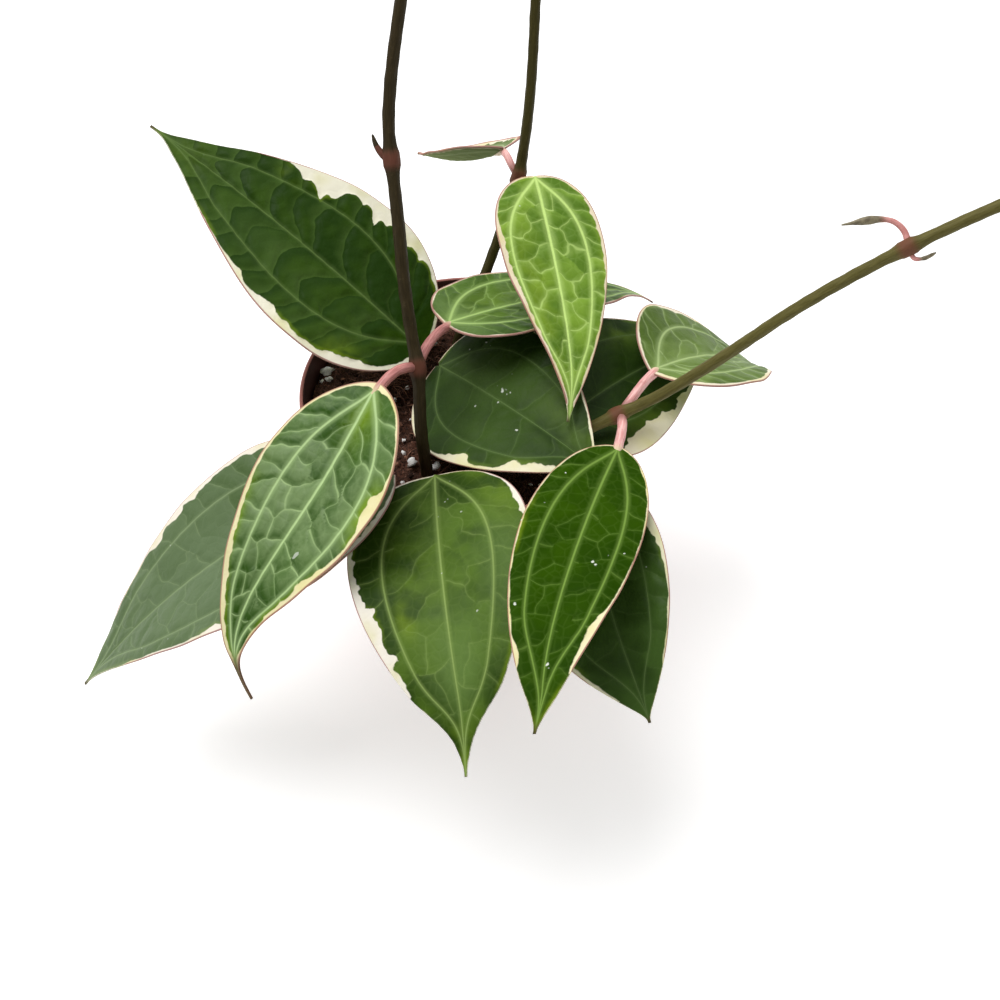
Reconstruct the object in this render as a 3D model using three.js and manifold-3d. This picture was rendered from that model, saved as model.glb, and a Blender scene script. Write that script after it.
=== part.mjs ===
// A variegated climbing hoya in a thin nursery pot: three stems and twelve large leaves.
// Millimetres, +Z up, origin at the middle of the pot's underside.
// Stems, leaves and soil are given in the rim's frame, with its origin at the middle of the rim.
import * as THREE from "three";
import { mergeVertices } from "three/addons/utils/BufferGeometryUtils.js";
import Module from "manifold-3d";

const wasm = await Module();
wasm.setup();

// Pot and soil
const POT_HEIGHT = 88;
const RIM_RADIUS = 51;
const RIM_BAND = 12;
const RIM_STEP = 2.4;
const BASE_RADIUS = 37;
const POT_WALL = 1.2;
const FLOOR = 1.6;
const POT_SEGMENTS = 48;
const SOIL_DEPTH = 7;
const SOIL_SEGMENTS = 36;
const CLODS = 0.9;
const PERLITE_LUMPS = 16;
const CLEARANCE = 0.3;

// Stems and leaf stalks
const STEM_SIDES = 8;
const STALK_SIDES = 7;
const STALK_RADIUS = 1.4;
const NODE_SWELL = 0.75;
const NODE_HALF_LENGTH = 3;

// Blades
const ACROSS = 8;
const ALONG = 14;
const MARGIN_THICKNESS = 0.75;
const MIDRIB_THICKNESS = 1.35;
const BASE_HALF_WIDTH = 0.9;
const TIP_HALF_WIDTH = 0.35;

const COLOURS = {
  pot: 0x7a5248,
  soil: 0x2a1c16,
  stem: 0x5a4a24,
  green: 0x3f6b2c,
  young: 0xb9827c,
};

// What the blades share: bend along the midrib and hook at the tip in degrees, sideways sweep and
// curl of the midrib, twist, fold along the midrib and cup across it, and the outline's shape.
const USUAL_BLADE = {
  bend: 15,
  hook: 0,
  sweep: 0,
  curl: 0,
  twist: 0,
  fold: 0.17,
  cup: 0.07,
  full: 0.5,
  taper: 0.95,
  drip: 0.05,
  skew: 0,
  lobe: 0.02,
};

const STEMS = {
  stem_brown: {
    radius: 1.75,
    tip: 1.5,
    nodes: [0.322, 0.617],
    points: [
      [-11, -33, -32],
      [-12, -30, -7],
      [-13, -29, 10],
      [-13.5, -20, 26],
      [-15, -15, 33],
      [-17, -7, 46],
      [-18, 0.5, 57.5],
      [-19.5, 10, 72.5],
      [-20, 14, 80],
      [-19, 19, 91],
      [-16, 27, 107],
      [-12, 36, 124],
      [-9, 42, 136],
    ],
  },
  stem_olive: {
    radius: 1.55,
    tip: 1.4,
    nodes: [0.51],
    points: [
      [-12, 15, -30],
      [-5, 22.5, -6],
      [-3, 25, 0],
      [4.5, 32.5, 16],
      [14.5, 44.5, 43],
      [15.5, 46.5, 48],
      [17, 51, 57.5],
      [18, 55.5, 67],
      [18.5, 59, 75.5],
      [19, 64.5, 88],
      [20, 71, 104],
      [22, 76, 116],
    ],
  },
  stem_green: {
    radius: 1.65,
    tip: 1.5,
    nodes: [0.286, 0.76],
    points: [
      [13, -25, -30],
      [18, -25, -16],
      [21, -26, -7],
      [25.5, -26, 2],
      [34, -25.5, 7.5],
      [43, -22.5, 10.5],
      [52.5, -21, 15.5],
      [63.5, -19.5, 23.5],
      [74, -18, 32],
      [85, -17.5, 42.5],
      [98, -16.5, 53],
      [113, -16, 64],
      [129, -15, 73.5],
      [142, -14, 80],
      [153, -13, 84],
    ],
  },
};

// Each leaf: where its blade starts, how it is turned, its size and form, the way of its stalk
// from its foot to the blade, and the stem that carries it if the foot isn't in the soil.
const LEAVES = {
  // Raised, at the back left
  leaf_01: {
    base: [-16, 6.5, 10],
    turn: { yaw: 153.5, pitch: 37, roll: -3.5 },
    length: 98.5,
    width: 56.5,
    form: {
      bend: 13, twist: -7.5, fold: 0.2, cup: 0.04, full: 0.53, taper: 1.18, drip: 0.063, skew: 0.02,
      lobe: 0.05,
    },
    stalk: [[-16, 8, -20], [-15.5, 7.5, -7], [-15, 6.8, 3], [-15, 6.2, 7.5]],
  },
  // Across the middle, pointing right
  leaf_02: {
    base: [-6, 0, 24],
    turn: { yaw: 34, pitch: -7, roll: -9 },
    length: 77,
    width: 37,
    form: { bend: 13, hook: 34, sweep: -0.02, twist: -2, full: 0.36, taper: 1, skew: 0.03 },
    carrier: "stem_brown",
    stalk: [[-13.5, -20, 26], [-12, -14, 26.5], [-9, -6, 25.5]],
  },
  // Hangs forward from the olive stem
  leaf_03: {
    base: [19, 37, 48],
    turn: { yaw: -77, pitch: -21, roll: -7 },
    length: 75,
    width: 32,
    form: {
      bend: 3, hook: 26, sweep: -0.05, curl: -0.03, twist: -13, full: 0.45, taper: 1.02, lobe: 0.01,
    },
    carrier: "stem_olive",
    stalk: [[14.5, 44.5, 43], [16.5, 42.5, 45.5], [18.5, 40, 48]],
  },
  // Seen from its edge, behind the olive stem
  leaf_04: {
    base: [10, 52.7, 47],
    turn: { yaw: 126, pitch: -40.8, roll: 9.9 },
    length: 63.5,
    width: 25,
    form: {
      bend: -23.9, hook: 18, sweep: -0.02, curl: -0.034, twist: 2.5, fold: 0.43, cup: 0.073, full: 0.42,
      taper: 0.95, skew: 0.037, drip: 0.02, lobe: 0.06,
    },
    carrier: "stem_olive",
    stalk: [[14.5, 44.5, 43], [12.6, 46.8, 45], [11, 50, 46.6]],
  },
  // Dark, low in the middle
  leaf_05: {
    base: [-8.8, 5, 3],
    turn: { yaw: -52, pitch: 17, roll: 29 },
    length: 65,
    width: 47,
    form: {
      bend: 21, hook: 19, sweep: -0.02, twist: -14, fold: 0.16, full: 0.45, taper: 0.71,
      skew: -0.03, lobe: 0.04,
    },
    stalk: [[-8, 11, -20], [-8.5, 10, -7], [-10, 9, -1.5], [-10.5, 7, 1.5]],
  },
  // Bright green, forward at the right
  leaf_06: {
    base: [41.5, -36.5, 11],
    turn: { yaw: -110.5, pitch: 10, roll: -5 },
    length: 90,
    width: 31,
    form: {
      bend: 16, hook: 20, sweep: 0.075, curl: 0.05, twist: 10, full: 0.59, taper: 0.86, drip: 0.016,
      skew: -0.01,
    },
    carrier: "stem_green",
    stalk: [[43, -22.5, 10.5], [43.2, -27, 11], [42.4, -32, 11.3]],
  },
  // Forward at the left, with a long curled tip
  leaf_07: {
    base: [-24, -31.5, 29],
    turn: { yaw: -122, pitch: -28, roll: 13 },
    length: 89,
    width: 40.5,
    form: {
      bend: 2.5, hook: 60, sweep: -0.14, curl: 0.15, twist: -17, fold: 0.21, cup: 0.02, full: 0.62,
      taper: 1.22, drip: 0.13, skew: 0.07, lobe: 0.04,
    },
    carrier: "stem_brown",
    stalk: [[-13.5, -20, 26], [-16, -24, 29], [-20, -28.3, 30.3]],
  },
  // Under the curled leaf, the farthest out to the left
  leaf_08: {
    base: [-24, -42, 5],
    turn: { yaw: -163, pitch: -11, roll: -5 },
    length: 112,
    width: 53,
    form: {
      bend: 42, hook: -10, sweep: 0.06, twist: 4, full: 0.56, taper: 1.06, drip: 0.07, skew: -0.04,
      lobe: 0.08,
    },
    stalk: [[-25, -27, -20], [-25, -29, -7], [-23.5, -34, -1], [-22, -39.5, 4]],
  },
  // Front, pointing at the viewer
  leaf_09: {
    base: [-9, -39, 2.5],
    turn: { yaw: -87, pitch: 9, roll: 12 },
    length: 87,
    width: 50,
    form: { bend: 44, hook: 7, twist: 10, full: 0.48, lobe: 0 },
    stalk: [[-6, -32, -20], [-7, -33.5, -7], [-8, -35, -2], [-9, -37, 0.5]],
  },
  // Front right, under the bright one
  leaf_10: {
    base: [34, -39, 4],
    turn: { yaw: -94, pitch: 2, roll: 18.5 },
    length: 72.5,
    width: 39.5,
    form: {
      bend: 47, hook: 5, sweep: 0.15, curl: -0.02, twist: -4, fold: 0.2, cup: 0.035, full: 0.75,
      taper: 0.86, drip: 0.06, skew: -0.1,
    },
    stalk: [[28, -31, -20], [30, -32, -8], [31.5, -33, -2.5], [33, -35, 2], [34, -37, 3.5]],
  },
  // Back right, under the green stem
  leaf_11: {
    base: [28, -19, 5],
    turn: { yaw: 43, pitch: 7, roll: 16 },
    length: 69,
    width: 46,
    form: {
      bend: 36, hook: 6, sweep: -0.08, curl: -0.02, twist: 8, full: 0.27, taper: 1.05, skew: 0.04,
      lobe: 0.05,
    },
    stalk: [[22, -13, -20], [22.5, -14, -7], [24, -17, 0.5], [26, -19.5, 4]],
  },
  // Right, over the green stem
  leaf_12: {
    base: [53.5, -9.4, 15],
    turn: { yaw: 37.7, pitch: -7.9, roll: 4.9 },
    length: 55.5,
    width: 42.5,
    form: {
      bend: 43, hook: 1.4, sweep: -0.066, curl: -0.027, twist: -12.3, fold: 0.214, cup: 0.01, full: 0.657,
      taper: 1.14, skew: 0.083, lobe: 0.045,
    },
    carrier: "stem_green",
    stalk: [[43, -22.5, 10.5], [46.5, -18.2, 12.6], [50.5, -13, 14.3]],
  },
};

for (const leaf of Object.values(LEAVES)) leaf.form = { ...USUAL_BLADE, ...leaf.form };

// The half-open pair at the green stem's far node, and the bud at the brown stem's upper node.
const YOUNG_LEAVES = {
  young_leaf_long: {
    points: [[113, -16, 64], [112, -13, 66.5], [109.5, -11, 68], [106, -10.5, 68.5], [96, -11.5, 67.5]],
    carrier: "stem_green",
    stalk: 1.2,
    fullest: 1.5,
  },
  young_leaf_short: {
    points: [[113, -16, 64], [114.5, -18, 62], [117, -18, 62], [120, -17, 63]],
    carrier: "stem_green",
    stalk: 1.1,
    fullest: 1.2,
  },
};
const BUD = [[-19.5, 9.5, 72], [-22, 11, 73.5], [-23.5, 12.5, 75], [-24.5, 14.5, 77]];

const vector = (p) => new THREE.Vector3(...p);
const radians = THREE.MathUtils.degToRad;

// A closed three.js geometry as a solid; triangles that shrank to a line at a pole are dropped.
function solidOf(geometry) {
  const bare = geometry.clone();
  bare.deleteAttribute("normal");
  bare.deleteAttribute("uv");
  const merged = mergeVertices(bare, 1e-4);
  const corners = [...merged.index.array];
  const triVerts = [];
  for (let i = 0; i < corners.length; i += 3) {
    const [a, b, c] = corners.slice(i, i + 3);
    if (a !== b && b !== c && c !== a) triVerts.push(a, b, c);
  }
  const mesh = new wasm.Mesh({
    numProp: 3,
    vertProperties: merged.attributes.position.array,
    triVerts: new Uint32Array(triVerts),
  });
  return new wasm.Manifold(mesh);
}

function geometryOf(solid) {
  const mesh = solid.getMesh();
  return new THREE.BufferGeometry()
    .setAttribute("position", new THREE.BufferAttribute(mesh.vertProperties, 3))
    .setIndex(new THREE.BufferAttribute(mesh.triVerts, 1));
}

function named(name, solid, color, roughness) {
  const geometry = geometryOf(solid).toNonIndexed();
  geometry.computeVertexNormals();
  const mesh = new THREE.Mesh(geometry, new THREE.MeshStandardMaterial({ color, roughness }));
  mesh.name = name;
  return mesh;
}

// A turned piece about +Z from its [radius, height] profile, anticlockwise from the axis.
function turned(profile, segments) {
  const points = profile.map(([radius, height]) => new THREE.Vector2(radius, height));
  return new THREE.LatheGeometry(points, segments).rotateX(Math.PI / 2);
}

// A round stalk: a lathe with one ring for each [way along, radius], carried onto a curve.
function alongPath(points, rings, sides, grow = 0) {
  const curve = new THREE.CatmullRomCurve3(points.map(vector), false, "centripetal");
  const steps = 200;
  const frames = curve.computeFrenetFrames(steps);
  const ends = [[rings[0][0], -grow], ...rings.map(([t]) => [t, 0]), [rings.at(-1)[0], grow]];
  ends[1][1] = -grow;
  ends[ends.length - 2][1] = grow;
  const radii = [0, ...rings.map(([, radius]) => radius + grow), 0];
  const profile = radii.map((radius, i) => new THREE.Vector2(radius, i));
  const bare = new THREE.LatheGeometry(profile, sides);
  bare.deleteAttribute("normal");
  bare.deleteAttribute("uv");
  const tube = mergeVertices(bare, 1e-4);
  const place = tube.attributes.position;
  for (let i = 0; i < place.count; i++) {
    const [t, extra] = ends[Math.round(place.getY(i))];
    const step = Math.round(t * steps);
    const point = curve.getPointAt(step / steps);
    point.addScaledVector(frames.tangents[step], extra);
    point.addScaledVector(frames.binormals[step], place.getX(i));
    point.addScaledVector(frames.normals[step], place.getZ(i));
    place.setXYZ(i, point.x, point.y, point.z);
  }
  return solidOf(tube);
}

// Rings every 6 mm or so and a swelling at each node; the tip rounds off to a point.
function stemSolid(stem, grow = 0) {
  const curve = new THREE.CatmullRomCurve3(stem.points.map(vector), false, "centripetal");
  const length = curve.getLength();
  const near = [-1.7, -0.8, 0, 0.8, 1.7];
  const ways = stem.nodes.flatMap((node) => near.map((k) => node + (k * NODE_HALF_LENGTH) / length));
  const count = Math.round(length / 7);
  for (let i = 0; i <= count; i++) {
    const t = (0.975 * i) / count;
    if (ways.every((w) => Math.abs(w - t) * length > 2.5)) ways.push(t);
  }
  ways.sort((a, b) => a - b);
  const rings = ways.map((t) => {
    const swell = stem.nodes.reduce((sum, node) => {
      const off = ((t - node) * length) / NODE_HALF_LENGTH;
      return sum + NODE_SWELL * Math.exp(-off * off);
    }, 0);
    return [t, THREE.MathUtils.lerp(stem.radius, stem.tip, t * t) + swell];
  });
  rings.push([0.99, 0.7 * stem.tip], [1, 0.25 * stem.tip]);
  return alongPath(stem.points, rings, STEM_SIDES, grow);
}

// Half the blade's width at s, from 0 at its base to 1 at its tip: round at the base, then
// narrowing to a drawn-out tip.
function halfWidth(leaf, s) {
  const { full, taper, drip } = leaf.form;
  const widest = full / (full + taper);
  const outline = (s / widest) ** full * ((1 - s) / (1 - widest)) ** taper;
  const tail = ((1 - s) / (1 - s + drip)) * ((1 - widest + drip) / (1 - widest));
  const least = THREE.MathUtils.lerp(BASE_HALF_WIDTH, TIP_HALF_WIDTH, s);
  return Math.hypot(0.5 * leaf.width * outline * tail, least);
}

// The point of the blade's middle surface at s along it and u across it, from -1 at its right
// margin to 1 at its left, and the direction square to the blade's cross-section there. The
// midrib runs along +X, bends down and hooks at the tip.
function onBlade(leaf, s, u) {
  const { bend, hook, sweep, curl, twist, fold, cup, skew, lobe } = leaf.form;
  const total = radians(bend);
  const tip = radians(hook);
  const down = total * s + tip * s ** 6;
  const middle = new THREE.Vector3(
    (leaf.length * Math.sin(total * s)) / total,
    leaf.length * (sweep * s ** 2 + curl * s ** 8),
    -leaf.length * ((1 - Math.cos(total * s)) / total + (tip * s ** 7) / 7),
  );
  const ahead = new THREE.Vector3(Math.cos(down), 2 * sweep * s + 8 * curl * s ** 7, -Math.sin(down));
  ahead.normalize();
  const left = new THREE.Vector3(Math.sin(down), 0, Math.cos(down)).cross(ahead).normalize();
  left.applyAxisAngle(ahead, radians(twist) * s);
  const up = ahead.clone().cross(left);
  const width = halfWidth(leaf, s);
  const soft = Math.hypot(u, 0.1);
  const rise = width * (fold * (soft - 0.1) - cup * u * u);
  const slope = fold * (u / soft) - 2 * cup * u;
  const point = middle
    .addScaledVector(left, width * u * (1 + skew * Math.tanh(8 * u)))
    .addScaledVector(up, rise)
    .addScaledVector(ahead, -lobe * leaf.width * u * u * Math.exp(-s / 0.12));
  const normal = up.addScaledVector(left, -slope).normalize();
  return { point, normal };
}

// A plane of squares bent to the blade, once for its top and once for its underside, and a strip
// all round between the two.
function bladeGeometry(leaf) {
  const plane = new THREE.PlaneGeometry(2, 1, ACROSS, ALONG);
  const flat = plane.attributes.position;
  const top = [];
  const under = [];
  for (let i = 0; i < flat.count; i++) {
    const u = -flat.getX(i);
    const t = flat.getY(i) + 0.5;
    const s = THREE.MathUtils.clamp(t - 0.12 * Math.sin(2 * Math.PI * t), 0, 1);
    const { point, normal } = onBlade(leaf, s, u);
    const rib = Math.exp(-((u / 0.25) ** 2)) * (1 - s);
    const half = THREE.MathUtils.lerp(MARGIN_THICKNESS, MIDRIB_THICKNESS, rib) / 2;
    top.push(...point.clone().addScaledVector(normal, half));
    under.push(...point.addScaledVector(normal, -half));
  }
  const faces = [...plane.index.array];
  const offset = flat.count;
  const reversed = [];
  for (let i = 0; i < faces.length; i += 3) {
    reversed.push(faces[i] + offset, faces[i + 2] + offset, faces[i + 1] + offset);
  }
  const border = [];
  for (let i = 0; i < ACROSS; i++) border.push(i);
  for (let j = 0; j < ALONG; j++) border.push(ACROSS + j * (ACROSS + 1));
  for (let i = ACROSS; i > 0; i--) border.push(i + ALONG * (ACROSS + 1));
  for (let j = ALONG; j > 0; j--) border.push(j * (ACROSS + 1));
  const strip = border.flatMap((a, i) => {
    const b = border[(i + 1) % border.length];
    return [a, b, b + offset, a, b + offset, a + offset];
  });
  return new THREE.BufferGeometry()
    .setAttribute("position", new THREE.Float32BufferAttribute([...top, ...under], 3))
    .setIndex([...faces, ...reversed, ...strip]);
}

// Where the blade's own frame lies in the rim's frame.
function placeOf(leaf) {
  const { yaw, pitch, roll } = leaf.turn;
  const euler = new THREE.Euler(radians(roll), -radians(pitch), radians(yaw), "ZYX");
  const turn = new THREE.Quaternion().setFromEuler(euler);
  return new THREE.Matrix4().compose(vector(leaf.base), turn, new THREE.Vector3(1, 1, 1));
}

// The stalk runs from its foot to the blade, then on under the midrib, where it fades out.
function stalkSolid(leaf, grow = 0) {
  const place = placeOf(leaf);
  const under = [0.015, 0.05, 0.1].map((s) => {
    const { point, normal } = onBlade(leaf, s, 0);
    return point.addScaledVector(normal, -0.7).applyMatrix4(place).toArray();
  });
  const points = [...leaf.stalk, ...under];
  const curve = new THREE.CatmullRomCurve3(points.map(vector), false, "centripetal");
  const hidden = (0.1 * leaf.length) / curve.getLength();
  const bare = Math.max(3, Math.round((curve.getLength() * (1 - hidden)) / 4));
  const rings = [];
  for (let i = 0; i <= bare; i++) rings.push([((1 - hidden) * i) / bare, STALK_RADIUS]);
  rings.push([1 - 0.5 * hidden, 0.8 * STALK_RADIUS], [1, 0.35 * STALK_RADIUS]);
  return alongPath(points, rings, STALK_SIDES, grow);
}

function youngLeafSolid(young) {
  const rings = [0, 0.15, 0.3, 0.45].map((t) => [t, young.stalk]);
  rings.push([0.6, young.fullest], [0.75, young.fullest], [0.9, 0.7], [1, 0.4]);
  return alongPath(young.points, rings, STALK_SIDES);
}

const gapped = Object.fromEntries(
  Object.entries(STEMS).map(([name, stem]) => [name, stemSolid(stem, CLEARANCE)]),
);

function leafMesh(name, leaf) {
  const place = placeOf(leaf);
  const blade = solidOf(bladeGeometry(leaf).applyMatrix4(place));
  let solid = blade.add(stalkSolid(leaf));
  if (leaf.carrier) solid = solid.subtract(gapped[leaf.carrier]);
  const mesh = named(name, solid, COLOURS.green, 0.45);
  mesh.geometry.applyMatrix4(place.clone().invert());
  mesh.applyMatrix4(place);
  return mesh;
}

function stemMesh(name, stem) {
  let solid = stemSolid(stem);
  if (name === "stem_brown") {
    const rings = [[0, 1.3], [0.3, 1.3], [0.6, 1.0], [0.85, 0.7], [1, 0.35]];
    solid = solid.add(alongPath(BUD, rings, STALK_SIDES));
  }
  return named(name, solid, COLOURS.stem, 0.6);
}

// The outside radius of the pot's wall at a height, under its rim band.
function wallRadius(height) {
  return THREE.MathUtils.mapLinear(height, 0, POT_HEIGHT - RIM_BAND, BASE_RADIUS, RIM_RADIUS - 1 - RIM_STEP);
}

function potSolid() {
  const step = POT_HEIGHT - RIM_BAND;
  const wall = wallRadius(step);
  const profile = [
    [0, 0],
    [BASE_RADIUS - 1, 0],
    [BASE_RADIUS, 1],
    [wall, step - 1],
    [RIM_RADIUS - 1, step],
    [RIM_RADIUS, POT_HEIGHT - 0.4],
    [RIM_RADIUS - 0.4, POT_HEIGHT],
    [RIM_RADIUS - POT_WALL + 0.2, POT_HEIGHT],
    [RIM_RADIUS - POT_WALL - 0.1, POT_HEIGHT - 0.5],
    [RIM_RADIUS - 1 - POT_WALL, step + 1],
    [wall - POT_WALL, step - 0.6],
    [wallRadius(FLOOR) - POT_WALL, FLOOR],
    [0, FLOOR],
  ];
  return solidOf(turned(profile, POT_SEGMENTS));
}

// Height of the soil's surface over its mean level: a few long waves and finer clods.
function clods(x, y) {
  const waves = Math.sin(0.13 * x + 1) * Math.cos(0.11 * y) + 0.5 * Math.sin(0.31 * x - 0.27 * y);
  return CLODS * (0.6 * waves + 0.4 * Math.sin(0.7 * x + 0.4) * Math.sin(0.63 * y + 1.1));
}

function soilSolid() {
  const step = POT_HEIGHT - RIM_BAND;
  const top = POT_HEIGHT - SOIL_DEPTH;
  const bottom = FLOOR + CLEARANCE;
  const gap = POT_WALL + CLEARANCE + 0.15;
  const edge = RIM_RADIUS - 1 - gap;
  const profile = [
    [0, bottom],
    [wallRadius(bottom) - gap, bottom],
    [wallRadius(step - 0.3) - gap, step - 0.3],
    [edge, step + 1.5],
    [edge, top - 1],
    [edge - 1.5, top],
    [40, top],
    [32, top],
    [24, top],
    [16, top],
    [8, top],
    [0, top],
  ];
  const heap = turned(profile, SOIL_SEGMENTS);
  const place = heap.attributes.position;
  for (let i = 0; i < place.count; i++) {
    const [x, y, z] = [place.getX(i), place.getY(i), place.getZ(i)];
    if (z > top - 0.5) place.setZ(i, z + clods(x, y));
  }
  let solid = solidOf(heap.translate(0, 0, -POT_HEIGHT));
  for (let k = 0; k < PERLITE_LUMPS; k++) {
    const angle = 2.4 * k;
    const out = 45 * Math.sqrt((k + 0.6) / PERLITE_LUMPS);
    const size = 1.5 + 0.7 * Math.abs(Math.sin(5.1 * k));
    const [x, y] = [out * Math.cos(angle), out * Math.sin(angle)];
    const lump = new THREE.IcosahedronGeometry(size).rotateX(k).rotateZ(1.7 * k);
    lump.translate(x, y, clods(x, y) - SOIL_DEPTH + 0.2 * size);
    solid = solid.add(solidOf(lump));
  }
  for (const hole of Object.values(gapped)) solid = solid.subtract(hole);
  for (const leaf of Object.values(LEAVES)) {
    if (!leaf.carrier) solid = solid.subtract(stalkSolid(leaf, CLEARANCE));
  }
  // A crumb that a hole cuts loose from a lump falls away.
  return solid.decompose().sort((a, b) => b.volume() - a.volume())[0];
}

const plant = new THREE.Group();
plant.add(named("pot", potSolid(), COLOURS.pot, 0.55));

const rim = new THREE.Group();
rim.position.z = POT_HEIGHT;
rim.add(named("soil", soilSolid(), COLOURS.soil, 0.95));
for (const [name, stem] of Object.entries(STEMS)) rim.add(stemMesh(name, stem));
for (const [name, leaf] of Object.entries(LEAVES)) rim.add(leafMesh(name, leaf));
for (const [name, young] of Object.entries(YOUNG_LEAVES)) {
  const solid = youngLeafSolid(young).subtract(gapped[young.carrier]);
  rim.add(named(name, solid, COLOURS.young, 0.5));
}
plant.add(rim);

export default plant;
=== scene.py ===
"""Looks of a young variegated climbing plant in a thin tapered nursery pot.

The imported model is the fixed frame. Its leaves, stems, soil and pot are replaced here by finer
pieces on the same lines: blades with veins and cream margins, pink leaf stalks, ringed stems,
fibrous peat with perlite, and a moulded rim. Shapes are worked out in millimetres from the middle
of the pot's rim, and put into metres as each mesh is made.
"""

import bmesh
import bpy
import numpy as np
from bpy.props import FloatProperty, FloatVectorProperty, IntProperty, PointerProperty
from bpy.types import Operator, Panel, PropertyGroup
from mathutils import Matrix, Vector


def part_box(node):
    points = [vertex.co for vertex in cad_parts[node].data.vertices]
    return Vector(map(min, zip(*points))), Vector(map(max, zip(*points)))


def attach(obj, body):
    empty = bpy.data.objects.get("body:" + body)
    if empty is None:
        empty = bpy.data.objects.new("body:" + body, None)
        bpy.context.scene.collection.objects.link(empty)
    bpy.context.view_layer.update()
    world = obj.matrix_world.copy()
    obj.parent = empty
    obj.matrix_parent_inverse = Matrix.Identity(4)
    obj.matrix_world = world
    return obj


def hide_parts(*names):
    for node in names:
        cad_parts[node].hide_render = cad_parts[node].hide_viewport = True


bl_info = {
    "name": "Potted climbing plant",
    "version": (1, 0, 0),
    "blender": (4, 5, 0),
    "location": "3D View > Sidebar > Plant",
    "description": "Veined cream-edged leaves, stems, peat and pot around the packed plant",
    "category": "Object",
}

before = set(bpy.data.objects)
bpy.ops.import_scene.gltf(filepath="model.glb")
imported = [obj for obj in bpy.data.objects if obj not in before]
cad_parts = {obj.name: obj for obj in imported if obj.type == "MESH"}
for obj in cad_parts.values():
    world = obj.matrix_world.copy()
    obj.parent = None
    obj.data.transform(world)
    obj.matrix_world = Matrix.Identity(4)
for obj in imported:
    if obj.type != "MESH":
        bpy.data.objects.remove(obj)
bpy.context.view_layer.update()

MM = 0.001
POT_HEIGHT = 1000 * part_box("pot")[1].z
RIM_RADIUS = 1000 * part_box("pot")[1].x
RIM_BAND = 12.0
RIM_STEP = 2.4
BASE_RADIUS = 37.0
POT_WALL = 1.2
POT_FLOOR = 1.6
FOOT_RING = 5.0
FOOT_HEIGHT = 0.9
SOIL_DEPTH = 7.0
CLODS = 0.9
CLEARANCE = 0.3

STALK_RADIUS = 1.4
NODE_SWELL = 0.75
NODE_HALF_LENGTH = 3.0
MARGIN_THICKNESS = 0.5
MIDRIB_THICKNESS = 1.35
BASE_HALF_WIDTH = 0.9
TIP_HALF_WIDTH = 0.35
CREASE = 0.1
LOBE_REACH = 0.12

# How finely the pieces are divided
BLADE_ROWS = 180
BLADE_COLUMNS = 96
MARGIN_BITS = 160
POT_SEGMENTS = 160
SOIL_SEGMENTS = 380
SOIL_RINGS = 150
STEM_SIDES = 28
STALK_SIDES = 20
YOUNG_LEAF_SIDES = 24
BUD_SIDES = 16

# The camera: its place in metres, how far down it looks in degrees, and its lens in mm. The floor
# reaches as many metres each way as its number says
CAMERA_PLACE = (0.009, -0.282, 0.359)
CAMERA_PITCH = 48.9
FOCAL_LENGTH = 46.8
SENSOR_WIDTH = 36
FLOOR_REACH = 4

# The softbox: its place, the point that it faces and its width, in metres
SOFTBOX_PLACE = (-0.3, 0.1, 1.1)
SOFTBOX_TARGET = (0, 0, 0.1)
SOFTBOX_WIDTH = 0.8

# The blade's form where a leaf says nothing else:
# bend, hook, twist: degrees by which it bends down evenly, hooks near the tip and twists
# sweep, curl: how far the midrib runs to the left, evenly and near the tip, as shares of the length
# fold, cup: how steeply the two halves rise from the midrib, and how much they sink back outwards
# full, taper: the powers of the outline that fill the base and narrow the tip
# drip: the length of the thinned tip, as a share
# skew: the share by which the left half is wider and the right half narrower
# lobe: how far the base lobes reach back, as a share of the width
USUAL_FORM = dict(
    bend=15, hook=0, sweep=0, curl=0, twist=0, fold=0.17, cup=0.07, full=0.5, taper=0.95,
    drip=0.05, skew=0, lobe=0.02,
)

# The usual markings, each a size in mm or a share where nothing else is said:
# lateral: where the pair of side veins runs, right and left, as a share of the half-width
# shift: how far the midrib lies to the left
# gap, slant: spacing and forward slope of the cross-veins, right and left
# arch: how far their middles bulge towards the tip, in gaps
# rows: cells side by side between midrib and side vein, and between side vein and margin
# jitter: how unevenly the cells lie
# forks: share of the net's lengthwise pieces that show
# net: how strongly the net shows
# width: the midrib's half-width
# quilt: height of the swelling of a cell
# a cell's painted shade and sheen: how much darker it is painted towards the tip, and paler towards
# the base
# trim, pink: width of the cream line all round and of the pink edge
# bare: where along the blade both die away
# jag, ragged: how far the net and small waves shape the cream
# wave: height of the margin's ripples
# dry: where the brown of the tip sets in
# tail, cream, pale, lime, flecks and the darker blotches of painted shade: see the leaves
USUAL_MARKINGS = dict(
    lateral=(0.64, 0.64), shift=0, gap=(9, 9), slant=(0.35, 0.35), arch=0.12, rows=(2, 1),
    jitter=0.8, forks=0.7, net=1, width=0.5, quilt=0.3, slope_shade=0.3, trim=0.45, pink=0.32,
    bare=(0.86, 0.96), jag=0.4, ragged=0.3, wave=0.25, dry=(0.97, 1), tail=(0.9, 1, 0, 0),
    cream=(), pale=(), lime=(), shade_blotches=(), flecks=(),
)
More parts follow.
